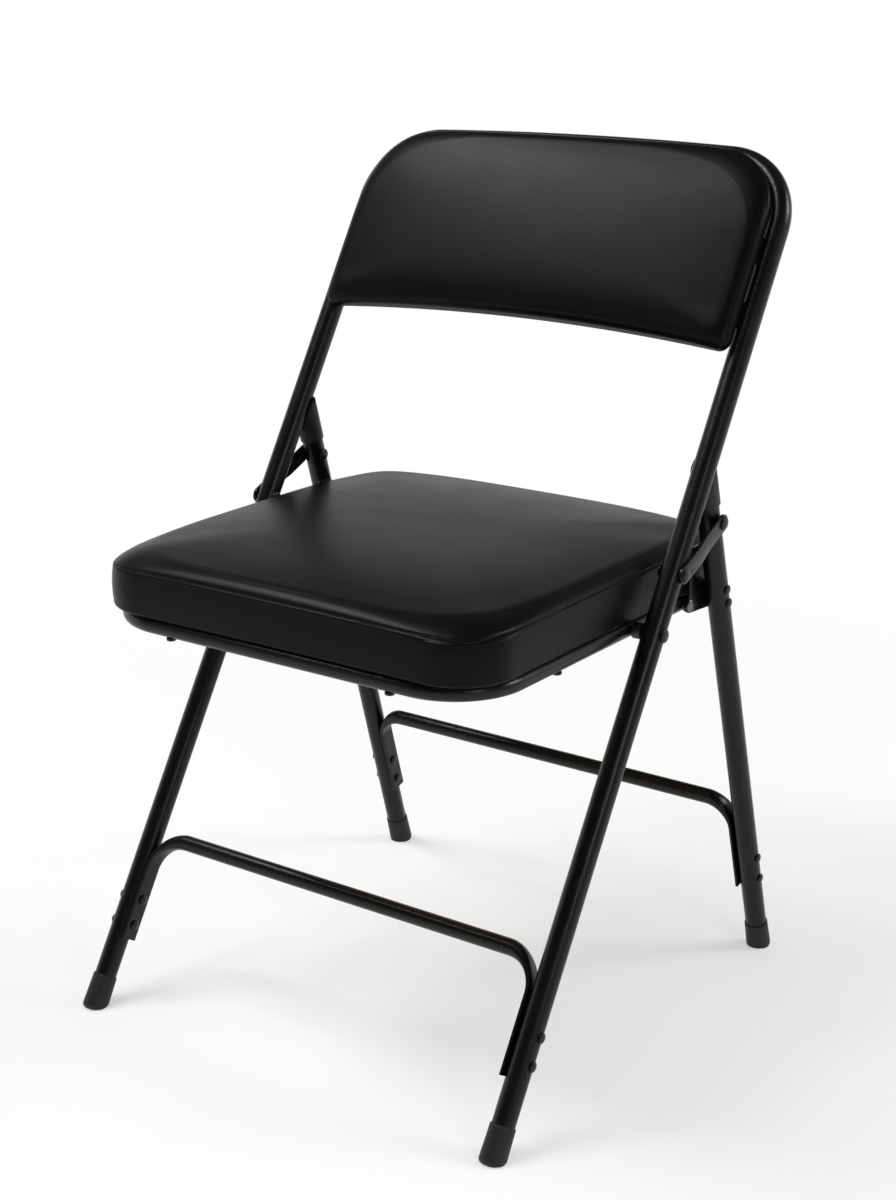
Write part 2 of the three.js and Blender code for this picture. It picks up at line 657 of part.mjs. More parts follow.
for (const [side, sign] of sides) {
  const set = (geometry) => solid(geometry.translate(sign * rearHalfWidth, 0, 0));
  const holes = [...rearHoles[side], ...rearLegDrills[side]];
  const pivotReach = alongRear(linkRearHeight);
  const tailTip = linkRearFace - clearance;
  const collar = tailTip - rearOutside - clearance;
  const tail = stud(rearInside - clearance, tailTip, pivotShank, pivotHead, pivotDome, collar);
  tail.scale(sign, 1, 1).translate(0, 0, pivotReach);
  addPiece(rearFrame, `link_rear_rivet_tail_${side}`, solid(tail), enamel);
  const drill = pivotDrill(rearInside, rearOutside).scale(sign, 1, 1).translate(0, 0, pivotReach);
  holes.push(solid(drill));

  const leg = set(post(legRadius, tubeStart, legMeet)).subtract(saddle(sign, capEnd + 2 * clearance));
  addPiece(rearFrame, `rear_leg_${side}`, drilled(leg, holes), enamel);
  const bore = set(post(legRadius + clearance, capBottom - overrun, legMeet))
    .subtract(saddle(sign, capEnd + clearance));
  const cap = set(post(legRadius + clearance + capWall, capBottom, legMeet))
    .subtract(bore).subtract(saddle(sign, clearance));
  addPiece(rearFrame, `rear_leg_cap_${side}`, cap, footPlastic);
  const foot = footCap(rearFrame, rearLean).translate(sign * rearHalfWidth, 0, 0);
  addPiece(rearFrame, `rear_foot_${side}`, foot, footPlastic);
}

// Links: flat straps outside the tubes, set inwards where they pass from the front tube to the leg
const strapSetShares = [0.4, 0.615];
const linkPlace = new THREE.Group();
linkPlace.position.set(0, linkFrontHeight * Math.tan(frontLean), linkFrontHeight);
const linkRun = rearDepthAt(linkRearHeight) - linkPlace.position.y;
const linkRise = linkRearHeight - linkFrontHeight;
const linkReach = Math.hypot(linkRun, linkRise);
const [setStart, setEnd] = strapSetShares.map((share) => share * linkReach);
linkPlace.rotation.x = Math.atan2(linkRise, linkRun);
chair.add(linkPlace);

function linkStrap() {
  const end = linkWidth / 2;
  const inner = [
    [linkFrontFace, -end - overrun],
    [linkFrontFace, setStart],
    [linkRearFace, setEnd],
    [linkRearFace, linkReach + end + overrun],
  ];
  const outer = inner.map(([x, y]) => [x + linkThickness, y]).reverse();
  const profile = new THREE.Shape([...inner, ...outer].map((pair) => vector(...pair)));
  const blank = new THREE.ExtrudeGeometry(profile, { depth: 4 * end, bevelEnabled: false });
  const outline = new THREE.Shape();
  outline.absarc(0, 0, end, Math.PI / 2, 3 / 2 * Math.PI, false);
  outline.absarc(linkReach, 0, end, -Math.PI / 2, Math.PI / 2, false);
  outline.closePath();
  const slot = sidePlate(outline, rearOutside, linkFrontFace + linkThickness + overrun);
  return solid(blank.translate(0, 0, -2 * end)).intersect(solid(slot));
}

for (const [side, sign] of sides) {
  let strap = linkStrap();
  for (const reach of [0, linkReach]) {
    const drill = pivotDrill(rearOutside, linkFrontFace + linkThickness);
    strap = strap.subtract(solid(drill.translate(0, reach, 0)));
  }
  addPiece(linkPlace, `link_${side}`, strap.scale([sign, 1, 1]), enamel);
  const outerFace = linkRearFace + linkThickness + clearance;
  const head = stud(outerFace, linkRearFace, pivotShank, pivotHead, pivotDome);
  head.scale(sign, 1, 1).translate(0, linkReach, 0);
  addPiece(linkPlace, `link_rear_rivet_${side}`, solid(head), enamel);
}

// Back pad: foam over a vinyl-wrapped board, screwed from behind to tabs welded inside the tube
const backSideInset = 4.8;
const backTopInset = 0.7;
const backHeight = 178;
const backTopRadius = 64;
const backBottomRadius = 10;
const backBottomArch = 9.3;
const backTopRise = 2;
const backPadDepth = 16.7;
const backPadRoll = 15;
const backPadCrown = 4;
const backBoardInset = 8;
const backBoardThickness = 6;
const backFace = legRadius + clearance;
const backHalfX = frameHalfWidth - backSideInset;
const backTop = alongFront(frameHeight) - backTopInset - backTopRise;
const backHalfY = (backHeight + backBottomArch - backTopRise) / 2;
const backMiddle = backTop - backHalfY;
const backCorners = [
  [backHalfX - backTopRadius, backHalfY - backTopRadius, backTopRadius],
  [backTopRadius - backHalfX, backHalfY - backTopRadius, backTopRadius],
  [backBottomRadius - backHalfX, backBottomRadius - backHalfY, backBottomRadius],
  [backHalfX - backBottomRadius, backBottomRadius - backHalfY, backBottomRadius],
];
const backOutline = outlineOf(backCorners, [-backTopRise, 0, backBottomArch, 0], edgeSteps);
const backLift = (x, y, height) => new THREE.Vector3(x, -backFace - height, backMiddle + y);
const backPad = new Pad(backOutline, backLift);
const backPadShares = [[0.1, 0], [0, 0.12], [0, 0.35], [0.1, 0.62], [0.32, 0.86], [0.65, 0.97]];

// Tabs with the screws that hold the back board
const tabThickness = 2;
const tabWidth = 27;
const tabHeight = 24;
const tabCorner = 6;
const tabScrewInset = 20;
const tabShares = { lower: -0.62, upper: 0.03 };
const backScrewBite = 4.5;
const tabFace = backFace - clearance;
const backScrewReach = tabThickness + clearance + backScrewBite;

function tab() {
  const [reach, half] = [tabWidth, tabHeight / 2];
  const outline = new THREE.Shape();
  outline.moveTo(0, -half);
  outline.lineTo(0, half);
  outline.absarc(tabCorner - reach, half - tabCorner, tabCorner, Math.PI / 2, Math.PI, false);
  outline.absarc(tabCorner - reach, tabCorner - half, tabCorner, Math.PI, 3 / 2 * Math.PI, false);
  outline.closePath();
  const plate = new THREE.ExtrudeGeometry(outline, {
    depth: tabThickness, bevelEnabled: false, curveSegments: bendSteps - 2,
  });
  return plate.rotateX(Math.PI / 2).translate(frameHalfWidth, tabThickness - tabFace, 0);
}

const backDrills = [];
for (const [side, sign] of sides) {
  for (const [place, share] of Object.entries(tabShares)) {
    const height = backMiddle + share * backHalfY;
    const screwX = frameHalfWidth - tabScrewInset;
    const set = (geometry) => solid(geometry.rotateX(Math.PI / 2)
      .translate(sign * screwX, tabThickness - tabFace, height));
    addPiece(frontFrame, `back_screw_${side}_${place}`, set(screw(backScrewReach)), zincPlate);
    const drill = set(post(screwHoleRadius, -overrun, backScrewReach + clearance, smallSides));
    backDrills.push(drill);
    const tube = post(legRadius + clearance, height - tabHeight, height + tabHeight);
    const blank = tab().translate(0, 0, height).scale(sign, 1, 1);
    const welded = solid(blank).subtract(solid(tube.translate(sign * frameHalfWidth, 0, 0)));
    addPiece(frontFrame, `back_tab_${side}_${place}`, welded.subtract(drill), enamel);
  }
}
const backBoard = backPad.board(backBoardInset, backBoardThickness);
addPiece(frontFrame, 'back_board', drilled(backBoard, backDrills), vinyl);
const backCushion = backPad.cushion(backPadShares, backPadRoll, backPadDepth, backPadCrown,
  backBoardInset, backBoardThickness);
addPiece(frontFrame, 'back_cushion', backCushion, vinyl);

// The origin goes to the middle of the footprint
const box = new THREE.Box3().setFromObject(chair, true);
chair.position.y = -(box.min.y + box.max.y) / 2;
const object = new THREE.Group();
object.add(chair);
object.updateMatrixWorld(true);

export default object;
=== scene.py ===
import json
import math

import bmesh
import bpy
import numpy as np
from mathutils import Matrix, Vector
from mathutils.bvhtree import BVHTree


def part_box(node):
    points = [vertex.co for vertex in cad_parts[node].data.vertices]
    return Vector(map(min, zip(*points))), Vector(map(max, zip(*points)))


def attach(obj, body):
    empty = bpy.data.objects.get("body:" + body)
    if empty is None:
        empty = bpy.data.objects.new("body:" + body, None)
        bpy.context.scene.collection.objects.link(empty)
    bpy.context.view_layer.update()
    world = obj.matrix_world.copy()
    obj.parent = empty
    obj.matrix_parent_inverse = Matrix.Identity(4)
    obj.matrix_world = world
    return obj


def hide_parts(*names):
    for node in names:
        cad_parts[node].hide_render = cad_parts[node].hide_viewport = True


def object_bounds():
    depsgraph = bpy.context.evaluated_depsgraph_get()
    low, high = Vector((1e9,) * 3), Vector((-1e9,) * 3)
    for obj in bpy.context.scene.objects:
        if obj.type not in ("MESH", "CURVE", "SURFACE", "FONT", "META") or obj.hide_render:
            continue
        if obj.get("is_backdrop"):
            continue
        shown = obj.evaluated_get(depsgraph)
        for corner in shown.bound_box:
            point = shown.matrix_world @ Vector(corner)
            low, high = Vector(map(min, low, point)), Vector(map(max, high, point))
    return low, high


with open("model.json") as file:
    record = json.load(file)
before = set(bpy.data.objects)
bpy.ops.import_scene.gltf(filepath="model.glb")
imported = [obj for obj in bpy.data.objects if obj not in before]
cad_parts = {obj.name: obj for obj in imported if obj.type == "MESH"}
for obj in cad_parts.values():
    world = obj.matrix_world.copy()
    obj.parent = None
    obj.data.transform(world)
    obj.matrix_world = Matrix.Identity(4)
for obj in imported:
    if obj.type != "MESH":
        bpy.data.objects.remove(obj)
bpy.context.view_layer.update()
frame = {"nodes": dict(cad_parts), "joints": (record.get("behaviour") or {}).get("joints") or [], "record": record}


# Front frame. One 20 mm steel tube is both front legs and the back's frame. It is bent into an
# upside-down U on a tube bender, with a slight rise in its top bar, and powder coated.
record = frame["record"]
body_of = {node: body for body, nodes in record["behaviour"]["bodies"].items() for node in nodes}
slot_of = {part["node"]: part["material_slot"] for part in record["subparts"]}
mounts = {mount["name"]: Vector(mount["pos_m"]) for mount in record["mounts"]}
front_foot = mounts["front_foot_right_sole"]
seat_pivot = Vector(frame["joints"][0]["pos_m"])
across = Vector((1, 0, 0))
front_up = Vector((0, seat_pivot.y - front_foot.y, seat_pivot.z)).normalized()
front_face = across.cross(front_up)
tube_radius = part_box("front_frame_tube")[1].x - front_foot.x
corner_radius = 0.066
top_bar_radius = 4.2


def hex_colour(text):
    """An sRGB colour such as 1a2b3c, as linear red, green, blue and alpha."""
    shares = [int(text[i:i + 2], 16) / 255 for i in (0, 2, 4)]
    return [s / 12.92 if s <= 0.04045 else ((s + 0.055) / 1.055) ** 2.4 for s in shares] + [1]


def add_node(tree, kind, inputs=None, **settings):
    """Adds a node. An input that is given a socket is linked to it, and any other value is set."""
    node = tree.nodes.new(kind)
    for name, value in settings.items():
        setattr(node, name, value)
    for name, value in (inputs or {}).items():
        if isinstance(value, bpy.types.NodeSocket):
            tree.links.new(value, node.inputs[name])
        else:
            node.inputs[name].default_value = value
    return node


# Polyester powder coat: the sprayed powder melts into a hard gloss skin. Its orange peel, about
# 2 mm from hump to hump and drawn at 5 mm so that it shows, breaks up the long reflections, and
# patches about 30 mm wide are a little duller.
powder_coat = bpy.data.materials.new("gloss_black_powder_coat")
powder_coat.use_nodes = True
tree = powder_coat.node_tree
coated = tree.nodes["Principled BSDF"]
coated.inputs["IOR"].default_value = 1.5
coated.inputs["Specular IOR Level"].default_value = 0.28
peel_pitch = 0.005
bloom_pitch = 0.03
place = add_node(tree, "ShaderNodeTexCoord").outputs["Object"]
peel = add_node(tree, "ShaderNodeTexNoise", {
    "Vector": place, "Scale": 1 / peel_pitch, "Detail": 3, "Roughness": 0.6})
bloom = add_node(tree, "ShaderNodeTexNoise", {"Vector": place, "Scale": 1 / bloom_pitch, "Detail": 2})
gloss = add_node(tree, "ShaderNodeMapRange", {"Value": bloom.outputs["Fac"], "To Min": 0.24, "To Max": 0.36})
tree.links.new(gloss.outputs["Result"], coated.inputs["Roughness"])
tint = add_node(tree, "ShaderNodeMix", {
    "Factor": bloom.outputs["Fac"], "A": hex_colour("070708"), "B": hex_colour("0c0c0d")}, data_type="RGBA")
tree.links.new(tint.outputs["Result"], coated.inputs["Base Color"])
hump = add_node(tree, "ShaderNodeBump", {"Height": peel.outputs["Fac"], "Strength": 0.4, "Distance": 0.0004})
tree.links.new(hump.outputs["Normal"], coated.inputs["Normal"])


def grid_faces(rows, count, closed=False, ends=True):
    """Faces of a skin over rows of points, with each row closed on itself."""
    faces = []
    for row in range(rows if closed else rows - 1):
        here, there = row * count, (row + 1) % rows * count
        for i in range(count):
            j = (i + 1) % count
            faces.append((here + i, here + j, there + j, there + i))
    if ends and not closed:
        faces.append(tuple(reversed(range(count))))
        faces.append(tuple(range((rows - 1) * count, rows * count)))
    return faces


def make_mesh(name, points, faces, material, sharp=40):
    """A smooth-shaded object that keeps its edges sharper than that angle."""
    mesh = bpy.data.meshes.new(name)
    mesh.from_pydata([tuple(p) for p in points], [], faces)
    build = bmesh.new()
    build.from_mesh(mesh)
    bmesh.ops.remove_doubles(build, verts=build.verts, dist=1e-6)
    bmesh.ops.recalc_face_normals(build, faces=build.faces)
    build.to_mesh(mesh)
    build.free()
    mesh.shade_smooth()
    mesh.set_sharp_from_angle(angle=math.radians(sharp))
    mesh.materials.append(material)
    piece = bpy.data.objects.new(name, mesh)
    bpy.context.collection.objects.link(piece)
    return piece


def stand_for(piece, node):
    """The piece takes the place and the body of a CAD node, which it hides."""
    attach(piece, body_of[node])
    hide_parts(node)
    return piece


def tube(stations, flat, radius, sides=48, closed=False):
    """A round tube along a flat path of points and directions; flat is square to the path's plane."""
    points = []
    for point, along in stations:
        other = along.cross(flat).normalized()
        for i in range(sides):
            angle = math.tau * i / sides
            points.append(point + radius * (math.cos(angle) * flat + math.sin(angle) * other))
    return points, grid_faces(len(stations), sides, closed)


def arc(x, y, radius, start, end, steps):
    """Points of an arc, each with the direction in which the arc runs on."""
    turn = math.copysign(1, end - start)
    for i in range(steps + 1):
        angle = start + (end - start) * i / steps
        c, s = math.cos(angle), math.sin(angle)
        yield (x + radius * c, y + radius * s), (-turn * s, turn * c)


def on_front(x, reach, out=0):
    """A place on the front frame's own plane: across it, up it and out towards the sitter."""
    return Vector((x, front_foot.y, 0)) + reach * front_up + out * front_face


foot_floor = 0.0097
top_reach = (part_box("front_frame_tube")[1].z - tube_radius) / front_up.z
bar_centre = top_reach - top_bar_radius
bar_angle = math.asin((front_foot.x - corner_radius) / (top_bar_radius - corner_radius))
corner_x = front_foot.x - corner_radius
corner_reach = bar_centre + (top_bar_radius - corner_radius) * math.cos(bar_angle)
left_corner = list(arc(-corner_x, corner_reach, corner_radius, math.pi, math.pi / 2 + bar_angle, 20))
top_bar = list(arc(0, bar_centre, top_bar_radius, math.pi / 2 + bar_angle, math.pi / 2 - bar_angle, 16))
right_corner = list(arc(corner_x, corner_reach, corner_radius, math.pi / 2 - bar_angle, 0, 20))
path = [((-front_foot.x, foot_floor), (0, 1)), *left_corner, *top_bar[1:-1], *right_corner,
        ((front_foot.x, foot_floor), (0, -1))]
stations = [(on_front(*place), across * run[0] + front_up * run[1]) for place, run in path]
front_tube = make_mesh("bent_front_tube", *tube(stations, front_face, tube_radius), powder_coat)
stand_for(front_tube, "front_frame_tube")


# Braces. Each is a 14.5 mm steel tube whose ends are bent down and pressed flat in a press, so
# that they lie against the inner side of the legs.
rear_foot = mounts["rear_foot_right_sole"]


def middle(node):
    low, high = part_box(node)
    return (low + high) / 2


link_pin = middle("link_rear_rivet_tail_right")
rear_up = Vector((0, link_pin.y - rear_foot.y, link_pin.z)).normalized()
rear_face = across.cross(rear_up)


def on_rear(x, reach, out=0):
    """A place on the rear legs' own plane: across it, up it and out of it."""
    return Vector((x, rear_foot.y, 0)) + reach * rear_up + out * rear_face


brace_radius = 0.00725
flat_half_width = 0.009
flat_half_thickness = 0.0015
leg_gap = 0.0003
front_brace_bend = 0.032
front_brace_drop = 0.100
rear_brace_bend = 0.026
rear_brace_drop = 0.096
# How far the pressed end leaves the oval for a flat with rounded edges.
squareness_share = 0.6


def brace_points(on_plane, leg_x, bar_reach, bend_radius, drop):
    """Sections of a brace, from the flat foot of its right end to that of its left end."""
    flat_x = leg_x - tube_radius - leg_gap - flat_half_thickness
    bend_x = flat_x - bend_radius
    sides, steps = 40, 28
    path = [(flat_x, bar_reach - drop, 0, 1)]
    for i in range(steps + 1):
        turn = math.pi / 2 * i / steps
        x = bend_x + bend_radius * math.cos(turn)
        path.append((x, bar_reach - bend_radius * (1 - math.sin(turn)), turn, 1 - i / steps))
    rows = []
    for x, reach, tilt, flat in path:
        ease = flat * flat * (3 - 2 * flat)
        thick = brace_radius + (flat_half_thickness - brace_radius) * ease
        wide = brace_radius + (flat_half_width - brace_radius) * ease
        power = 1 - squareness_share * ease
        row = []
        for i in range(sides):
            angle = math.tau * (i + 0.5) / sides
            c, s = math.cos(angle), math.sin(angle)
            side = thick * math.copysign(abs(c) ** power, c)
            depth = wide * math.copysign(abs(s) ** power, s)
            row.append((x + side * math.cos(tilt), reach + side * math.sin(tilt), depth))
        rows.append(row)
    mirrored = [[(-x, reach, depth) for x, reach, depth in row] for row in reversed(rows)]
    points = [on_plane(*place) for row in rows + mirrored for place in row]
    return points, grid_faces(2 * len(rows), sides)


for node, on_plane, leg_x, up, bend_radius, drop in (
        ("front_brace", on_front, front_foot.x, front_up, front_brace_bend, front_brace_drop),
        ("rear_brace", on_rear, rear_foot.x, rear_up, rear_brace_bend, rear_brace_drop)):
    bar_reach = (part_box(node)[1].z - brace_radius) / up.z
    points, faces = brace_points(on_plane, leg_x, bar_reach, bend_radius, drop)
    stand_for(make_mesh(f"{node}_tube", points, faces, powder_coat), node)


# Rear legs. Two straight 20 mm tubes, powder coated like the front frame. Each runs from inside
# its foot to inside the cap on its top end.
cap_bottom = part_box("rear_leg_cap_right")[0].z / rear_up.z
reach_in_cap = 0.02
tube_top = cap_bottom + reach_in_cap
for side, sign in (("left", -1), ("right", 1)):
    ends = [(on_rear(sign * rear_foot.x, reach), rear_up) for reach in (foot_floor, tube_top)]
    leg = make_mesh(f"{side}_rear_tube", *tube(ends, rear_face, tube_radius), powder_coat)
    stand_for(leg, f"rear_leg_{side}")


# Feet. Cups of dark grey polyethylene, moulded in one piece and pushed over the tubes' ends, with
# a rounded sole that is flat where it meets the floor.
foot_radius = 0.0116
foot_rim_radius = 0.011
foot_height = 0.029
foot_rounding = 0.005
lip = 0.0006
# The sole's flat reaches this share of the foot's radius past its middle.
sole_share = 0.7

# Moulded polyethylene: a matt grey, mottled in patches of 8 mm, with a fine grain from the mould
# that is 0.5 mm wide and drawn at 1.2 mm.
foot_plastic = bpy.data.materials.new("moulded_grey_polyethylene")
foot_plastic.use_nodes = True
tree = foot_plastic.node_tree
moulded = tree.nodes["Principled BSDF"]
moulded.inputs["IOR"].default_value = 1.5
moulded.inputs["Specular IOR Level"].default_value = 0.25
mottle_pitch = 0.008
grain_pitch = 0.0012
place = add_node(tree, "ShaderNodeTexCoord").outputs["Object"]
mottle = add_node(tree, "ShaderNodeTexNoise", {"Vector": place, "Scale": 1 / mottle_pitch, "Detail": 4})
tint = add_node(tree, "ShaderNodeMix", {
    "Factor": mottle.outputs["Fac"], "A": hex_colour("1a1b1d"), "B": hex_colour("262729")}, data_type="RGBA")
tree.links.new(tint.outputs["Result"], moulded.inputs["Base Color"])
wear = add_node(tree, "ShaderNodeMapRange", {"Value": mottle.outputs["Fac"], "To Min": 0.42, "To Max": 0.6})
tree.links.new(wear.outputs["Result"], moulded.inputs["Roughness"])
spark = add_node(tree, "ShaderNodeTexNoise", {"Vector": place, "Scale": 1 / grain_pitch, "Detail": 2})
grain = add_node(tree, "ShaderNodeBump", {
    "Height": spark.outputs["Fac"], "Strength": 0.3, "Distance": 0.0001})
tree.links.new(grain.outputs["Normal"], moulded.inputs["Normal"])


# The radius at which a turned end is closed by one small face.
nearly_closed = 0.0001


def lathe(origin, axis, side, profile, turns=48):
    """Points turned round an axis; the profile's pairs are a radius and a place along the axis."""
    other = axis.cross(side)
    points = []
    for radius, along in profile:
        for i in range(turns):
            angle = math.tau * i / turns
            spoke = math.cos(angle) * side + math.sin(angle) * other
            points.append(origin + axis * along + radius * spoke)
    return points, grid_faces(len(profile), turns)


for side, sign in (("left", -1), ("right", 1)):
    for end, on_plane, leg_x, up in (("front", on_front, front_foot.x, front_up),
                                     ("rear", on_rear, rear_foot.x, rear_up)):
        lean = math.acos(up.z)
        sole = -sole_share * foot_radius * math.tan(lean)
        profile = [(nearly_closed, sole)]
        for i in range(9):
            turn = math.pi / 2 * i / 8
            profile.append((foot_radius - foot_rounding * (1 - math.sin(turn)),
                            sole + foot_rounding * (1 - math.cos(turn))))
        for i in range(1, 8):
            share = i / 8
            profile.append((foot_radius + (foot_rim_radius - foot_radius) * share,
                            sole + foot_rounding + (foot_height - lip - sole - foot_rounding) * share))
        profile += [(foot_rim_radius, foot_height - lip), (foot_rim_radius - lip / 3, foot_height - lip / 3),
                    (foot_rim_radius - lip, foot_height), (tube_radius + leg_gap, foot_height),
                    (tube_radius + leg_gap, foot_floor), (nearly_closed, foot_floor)]
        points, faces = lathe(on_plane(sign * leg_x, 0), up, across, profile)
        points = [p - up * (p.z / up.z) if p.z < 0 else p for p in points]
        foot = make_mesh(f"{end}_{side}_foot_cup", points, faces, foot_plastic, sharp=50)
        stand_for(foot, f"{end}_foot_{side}")


# Rivets. Mild steel, cold headed, with a low dome on each side of what they hold. They are set
# before the frame is coated, but the hinges' own rivets are zinc plated and set afterwards.
dome_share = 0.38
rim_share = 0.2
shank_share = 0.52
tail_collar = 0.0012
point_radius = 0.00002

# Zinc plate on steel: a slightly blue grey metal, dulled by fine scratches about 2 mm apart.
zinc_plate = bpy.data.materials.new("bright_zinc_plate")
zinc_plate.use_nodes = True
tree = zinc_plate.node_tree
plated = tree.nodes["Principled BSDF"]
plated.inputs["Metallic"].default_value = 1
plated.inputs["Base Color"].default_value = hex_colour("6f7174")
scratch_pitch = 0.002
place = add_node(tree, "ShaderNodeTexCoord").outputs["Object"]
scratches = add_node(tree, "ShaderNodeTexNoise", {"Vector": place, "Scale": 1 / scratch_pitch, "Detail": 5})
dull = add_node(tree, "ShaderNodeMapRange", {
    "Value": scratches.outputs["Fac"], "To Min": 0.22, "To Max": 0.42})
tree.links.new(dull.outputs["Result"], plated.inputs["Roughness"])
nick = add_node(tree, "ShaderNodeBump", {
    "Height": scratches.outputs["Fac"], "Strength": 0.2, "Distance": 0.0001})
tree.links.new(nick.outputs["Normal"], plated.inputs["Normal"])


def dome(face, out, radius):
    """Half a rivet head's outline: a short upright rim, then a low dome."""
    height = dome_share * radius
    rim = rim_share * height
    rows = [(radius, face), (radius, face + out * rim)]
    for i in range(1, 9):
        turn = math.pi / 2 * i / 8
        rise = rim + (height - rim) * math.sin(turn)
        rows.append((radius * math.cos(turn) + point_radius, face + out * rise))
    return rows


for node in sorted(n for n in frame["nodes"] if "rivet" in n):
    low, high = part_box(node)
    head = (high.z - low.z) / 2
    shank = shank_share * head
    outwards = math.copysign(1, low.x + high.x)
    inner, outer = (low.x, high.x) if outwards > 0 else (high.x, low.x)
    rise = outwards * dome_share * head
    collar = outwards * tail_collar
    if "link_rear_rivet_tail" in node:
        profile = [*reversed(dome(inner + rise, -outwards, head)), (shank, inner + rise),
                   (shank, outer - collar), (head, outer - collar), (head, outer), (point_radius, outer)]
    elif "link_rear_rivet" in node:
        profile = [(point_radius, inner), (shank, inner), (shank, outer - rise),
                   *dome(outer - rise, outwards, head)]
    else:
        profile = [*reversed(dome(inner + rise, -outwards, head)), (shank, inner + rise),
                   (shank, outer - rise), *dome(outer - rise, outwards, head)]
    finish = zinc_plate if slot_of[node] == "zinc_steel" else powder_coat
    origin = Vector((0, (low.y + high.y) / 2, (low.z + high.z) / 2))
    points, faces = lathe(origin, across, Vector((0, 0, 1)), profile, turns=32)
    stand_for(make_mesh(f"{node}_headed", points, faces, finish, sharp=50), node)


# Folding links, hinge plates and back tabs, blanked from 2 to 2.5 mm steel strip in a press, which
# leaves a small round on every edge, and powder coated. The rear legs' caps are moulded like the
# feet. All keep their CAD solids, with facets smoothed and edges rounded by modifiers.
pressed_edge = 0.0004
moulded_edge = 0.0003
real_edge = math.radians(35)


def smoothing():
    """A node group that shades all but a CAD solid's real edges smooth."""
    tree = bpy.data.node_groups.new("smooth_over_facets", "GeometryNodeTree")
    for direction in ("INPUT", "OUTPUT"):
        tree.interface.new_socket("Geometry", in_out=direction, socket_type="NodeSocketGeometry")
    start = add_node(tree, "NodeGroupInput")
    bend = add_node(tree, "GeometryNodeInputMeshEdgeAngle")
    edge = add_node(tree, "FunctionNodeCompare", {
        "A": bend.outputs["Unsigned Angle"], "B": real_edge}, operation="GREATER_THAN")
    round_off = add_node(tree, "GeometryNodeSetShadeSmooth", {
        "Geometry": start.outputs["Geometry"], "Shade Smooth": True}, domain="FACE")
    keep = add_node(tree, "GeometryNodeSetShadeSmooth", {
        "Geometry": round_off.outputs["Geometry"], "Selection": edge.outputs["Result"],
        "Shade Smooth": False}, domain="EDGE")
    add_node(tree, "NodeGroupOutput", {"Geometry": keep.outputs["Geometry"]})
    return tree


smooth_over_facets = smoothing()


def finish_node(node, material, edge=0):
    """A CAD node that stays gets its finish, smooth shading and, if asked, rounded edges. The weld
    joins the triangles that the CAD file keeps apart."""
    part = frame["nodes"][node]
    part.data.materials.clear()
    part.data.materials.append(material)
    weld = part.modifiers.new("weld", "WELD")
    weld.merge_threshold = 1e-6
    if edge:
        bevel = part.modifiers.new("rounded_edges", "BEVEL")
        bevel.width = edge
        bevel.segments = 2
        bevel.limit_method = "ANGLE"
        bevel.angle_limit = math.radians(50)
    part.modifiers.new("smooth", "NODES").node_group = smooth_over_facets


for side in ("left", "right"):
    finish_node(f"link_{side}", powder_coat, edge=pressed_edge)
    finish_node(f"hinge_plate_{side}", powder_coat, edge=pressed_edge)
    for row in ("lower", "upper"):
        finish_node(f"back_tab_{side}_{row}", powder_coat, edge=pressed_edge)
    finish_node(f"rear_leg_cap_{side}", foot_plastic, edge=moulded_edge)


# Spacers and washers of black nylon, moulded, that keep the seat's tube off the legs and off the
# hinge plates. Nylon looks waxy, with a haze in patches of 3 mm.
nylon = bpy.data.materials.new("moulded_black_nylon")
nylon.use_nodes = True
tree = nylon.node_tree
waxy = tree.nodes["Principled BSDF"]
waxy.inputs["IOR"].default_value = 1.53
waxy.inputs["Base Color"].default_value = hex_colour("131314")
haze_pitch = 0.003
place = add_node(tree, "ShaderNodeTexCoord").outputs["Object"]
haze = add_node(tree, "ShaderNodeTexNoise", {"Vector": place, "Scale": 1 / haze_pitch, "Detail": 3})
sheen = add_node(tree, "ShaderNodeMapRange", {"Value": haze.outputs["Fac"], "To Min": 0.4, "To Max": 0.55})
tree.links.new(sheen.outputs["Result"], waxy.inputs["Roughness"])
for side in ("left", "right"):
    finish_node(f"seat_pivot_spacer_{side}", nylon, edge=moulded_edge)
    finish_node(f"hinge_washer_{side}", nylon, edge=moulded_edge)


# Seat ring. A 14.5 mm steel tube bent into a level loop, with its ends joined in the middle of
# the rear bar. It carries the seat on screws from below.
ring_low, ring_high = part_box("seat_ring")
ring_radius = (ring_high.z - ring_low.z) / 2
ring_corner = 0.060
ring_x = ring_high.x - ring_radius
ring_front = ring_low.y + ring_radius
ring_rear = ring_high.y - ring_radius
ring_level = (ring_high.z + ring_low.z) / 2
turn = math.pi / 2
loop = []
for x, y, start in ((ring_x, ring_front, -turn), (ring_x, ring_rear, 0),
                    (-ring_x, ring_rear, turn), (-ring_x, ring_front, 2 * turn)):
    centre_x = x - math.copysign(ring_corner, x)
    centre_y = y + (ring_corner if y == ring_front else -ring_corner)
    loop += list(arc(centre_x, centre_y, ring_corner, start, start + turn, 20))
stations = [(Vector((*place, ring_level)), Vector((*run, 0))) for place, run in loop]
points, faces = tube(stations, Vector((0, 0, 1)), ring_radius, closed=True)
stand_for(make_mesh("bent_seat_ring", points, faces, powder_coat), "seat_ring")


# Screws. Pan heads with a cross recess: black ones come up through the ring into the seat board,
# and zinc plated ones go through the tabs into the back board.
screw_head = 0.0042
screw_head_height = 0.0024
screw_shank = 0.0019
screw_point = 0.003
back_screw_bite = 0.0068
recess_reach = 0.0026
recess_half_width = 0.0006
recess_depth = 0.0011
recess_wall = 0.0004
recess_end = 0.0005
# The head's flat top, and the radius at which its rounded edge begins, as shares of its radius.
flat_top_share = 0.78
edge_share = 0.95


